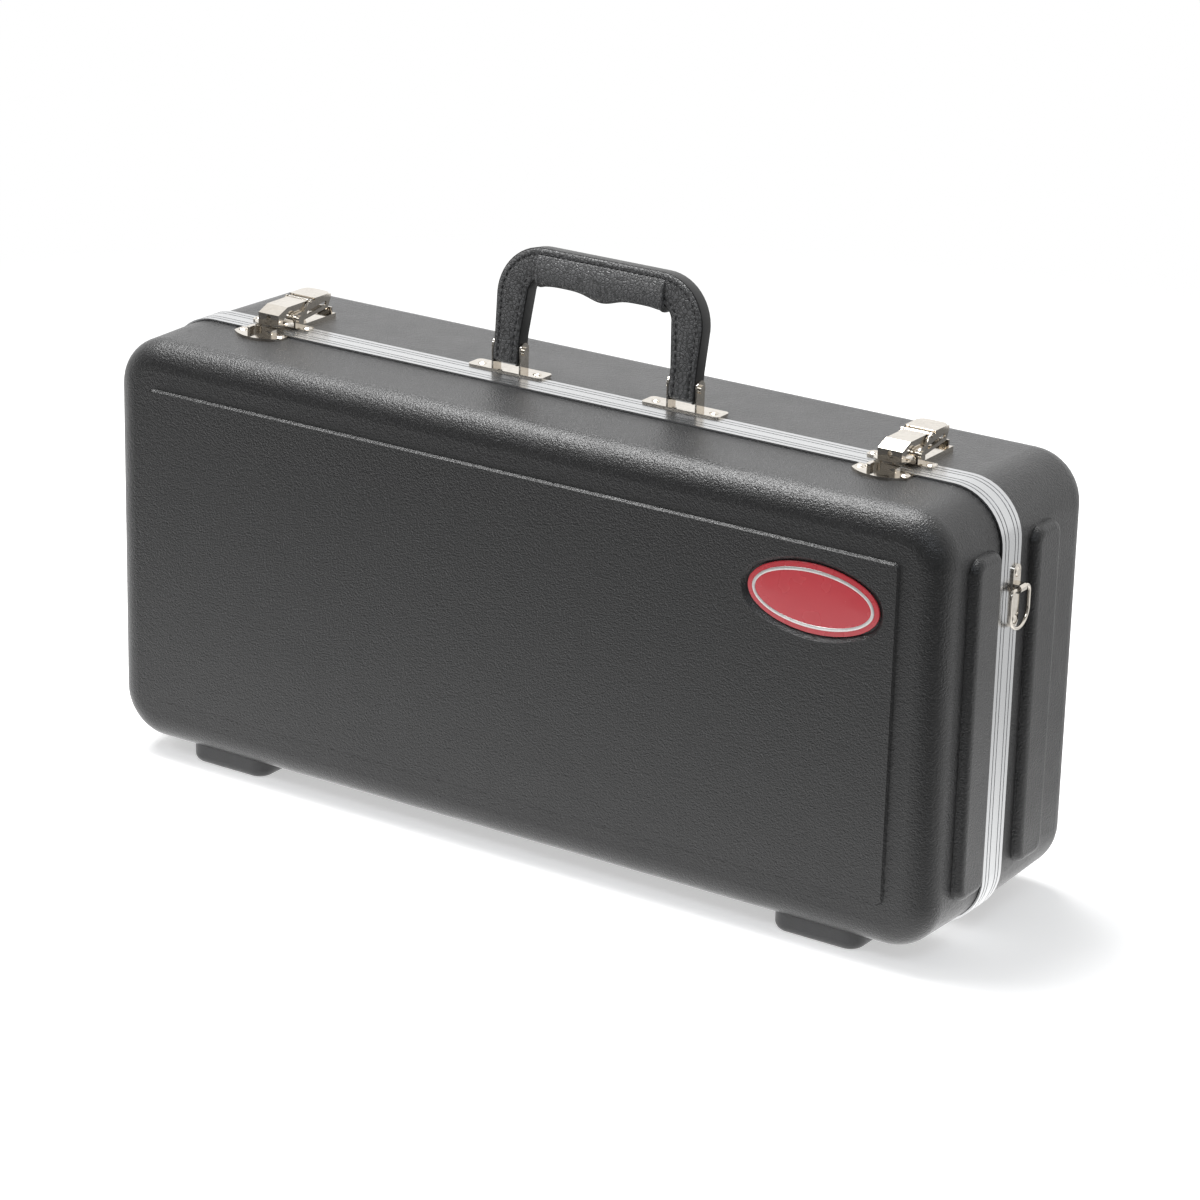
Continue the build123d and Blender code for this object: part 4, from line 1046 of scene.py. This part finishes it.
def seam_path(first, second, inset, n, keep):
    """A seam inset from the first edge path towards the second, on the face at n."""
    seam = []
    for (au, av), (bu, bv) in zip(first, second):
        gap = math.hypot(bu - au, bv - av)
        u = au + (bu - au) * inset / gap
        v = av + (bv - av) * inset / gap
        if keep(u, v):
            seam.append(handle_point(u, v, n))
    return seam


def on_cover(u, v):
    return v > COVER_FOOT + SEAM_START


def beside_grip(hand):
    """A test for stations on one leg, 1 for the right and -1 for the left, up to the grip."""
    return lambda u, v: on_cover(u, v) and u * hand > GRIP_HALF - SEAM_OVERLAP


seams = []
for n in (COVER_HALF - STITCH_SUNK, STITCH_SUNK - COVER_HALF):
    seams.append(seam_path(outer_path, inner_path, SEAM_IN, n, on_cover))
    for hand in (1, -1):
        seams.append(seam_path(inner_path, outer_path, SEAM_IN, n, beside_grip(hand)))
stitch_sizes = {"Pitch": STITCH_PITCH, "Length": STITCH_LONG, "Thickness": STITCH_THICK,
                "Thread": thread}
stitches = seams_to_stitches("handle_stitches", seams, stitch_tree, stitch_sizes)
print("stitches:", len(stitches.data.polygons), "faces")

# %% [markdown]
# ### Put the handle together
# Every piece rides on the handle's body, so that it folds down with the strap. The skins take the
# place of the plain CAD solids, and the grip's shape is fuller than the solid's.

# %% Put the handle together
for piece in (handle_cover, outer_edge, inner_edge, stitches):
    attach(piece, "handle")
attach(grip, "handle")
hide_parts("handle_cover")
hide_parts("handle_grip")
print("handle rides on its pins")

# %% [markdown]
# ## The lining
# Inside, moulded foam is covered with black plush. A cloth simulation could drape it, but
# glued cloth has no folds. The CAD solid is exact and hard-edged, so a copy is welded,
# remeshed into even cells and relaxed, which rounds its rims the way cloth over foam
# does. Each copy is pulled in a little, so that it stays inside its shell.

# %% Soften the foam
LINING_CELL = 4.0 * MM
LINING_RELAX = 6
LINING_SHRINK = 0.6 * MM


def soft_copy(node, name, cell, relax, shrink):
    """A welded, remeshed and smoothed copy of a CAD node, pulled in by shrink."""
    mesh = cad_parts[node].data.copy()
    piece = bpy.data.objects.new(name, mesh)
    bpy.context.scene.collection.objects.link(piece)
    face_outwards(piece)
    remesh = piece.modifiers.new("cells", "REMESH")
    remesh.mode = "VOXEL"
    remesh.voxel_size = cell
    smooth = piece.modifiers.new("relax", "SMOOTH")
    smooth.factor = 0.5
    smooth.iterations = relax
    pull = piece.modifiers.new("pull", "DISPLACE")
    pull.mid_level = 0.0
    pull.strength = -shrink
    graph = bpy.context.evaluated_depsgraph_get()
    made = bpy.data.meshes.new_from_object(piece.evaluated_get(graph))
    piece.modifiers.clear()
    piece.data = made
    made.materials.clear()
    made.polygons.foreach_set("use_smooth", [True] * len(made.polygons))
    return piece


print("foam helper ready")

# %% [markdown]
# ### Plush
# Plush has a short dense pile. Particle hair would be millions of strands, and none of
# them would show from a step away. A velvety sheen, a mottled nap and a very fine bump
# do it: the sheen is light at grazing angles, as the tips of a pile are.


# %% Lay the plush
def make_plush():
    material, tree, shader, where = start_material("black_plush")
    nap = noise(tree, where, 60.0, Detail=3.0)
    pile = noise(tree, where, 2400.0, Detail=2.0)
    colour_by(tree, shader, nap, (0.010, 0.010, 0.012), (0.030, 0.030, 0.034))
    roughen_by(tree, shader, pile, 0.85, 1.0)
    shader.inputs["Sheen Weight"].default_value = 0.6
    shader.inputs["Sheen Roughness"].default_value = 0.4
    under = bump(tree, shader, nap, 0.0012, 0.6)
    bump(tree, shader, pile, 0.0004, 1.0, under)
    return material


plush = make_plush()
base_foam = soft_copy("base_lining", "base_foam", LINING_CELL, LINING_RELAX, LINING_SHRINK)
lid_foam = soft_copy("lid_lining", "lid_foam", LINING_CELL, LINING_RELAX, LINING_SHRINK)
for foam, body, node in ((base_foam, "base", "base_lining"), (lid_foam, "lid", "lid_lining")):
    foam.data.materials.append(plush)
    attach(foam, body)
    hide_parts(node)
    print(foam.name, len(foam.data.polygons), "faces")

# %% [markdown]
# ### The accessory lid
# A plush-covered board closes the small compartment. Its edges are softened as the foam's
# are, with smaller cells because it is thin. A flat loop of ribbon lifts it: a strip
# swept down the board's face that bows away from it a little.

# %% Cover the board and sew on its tab
BOARD_CELL = 1.2 * MM
BOARD_RELAX = 3
BOARD_SHRINK = 0.1 * MM
TAB_HALF = 9.0 * MM
TAB_LONG = 15.0 * MM
TAB_THICK = 0.9 * MM

board = soft_copy("compartment_lid", "accessory_board", BOARD_CELL, BOARD_RELAX, BOARD_SHRINK)
board.data.materials.append(plush)
board_low, board_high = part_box("compartment_lid")


def make_tab():
    """A flat loop of ribbon that lies on the board, down to its lower edge."""
    middle = (board_low.x + board_high.x) / 2
    left, right = middle - TAB_HALF, middle + TAB_HALF
    front = board_low.y
    low = board_low.z
    line = [(front - 0.2 * MM, low + TAB_LONG), (front - 0.9 * MM, low + TAB_LONG * 0.7),
            (front - 1.5 * MM, low + TAB_LONG * 0.35), (front - 1.7 * MM, low + 2.0 * MM),
            (front - 1.2 * MM, low + 0.6 * MM)]
    rings = []
    for y, z in line:
        back = y + TAB_THICK
        rings.append([(left, y, z), (right, y, z), (right, back, z), (left, back, z)])
    return face_outwards(mesh_object("accessory_tab", *loft(rings)))


tab = make_tab()
tab.data.materials.append(plush)
for piece in (board, tab):
    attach(piece, "accessory_lid")
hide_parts("compartment_lid")
print("board", [round(1000 * (b - a), 1) for a, b in zip(board_low, board_high)], "mm")

# %% [markdown]
# ## Finish

# %% Finish
print("finished")
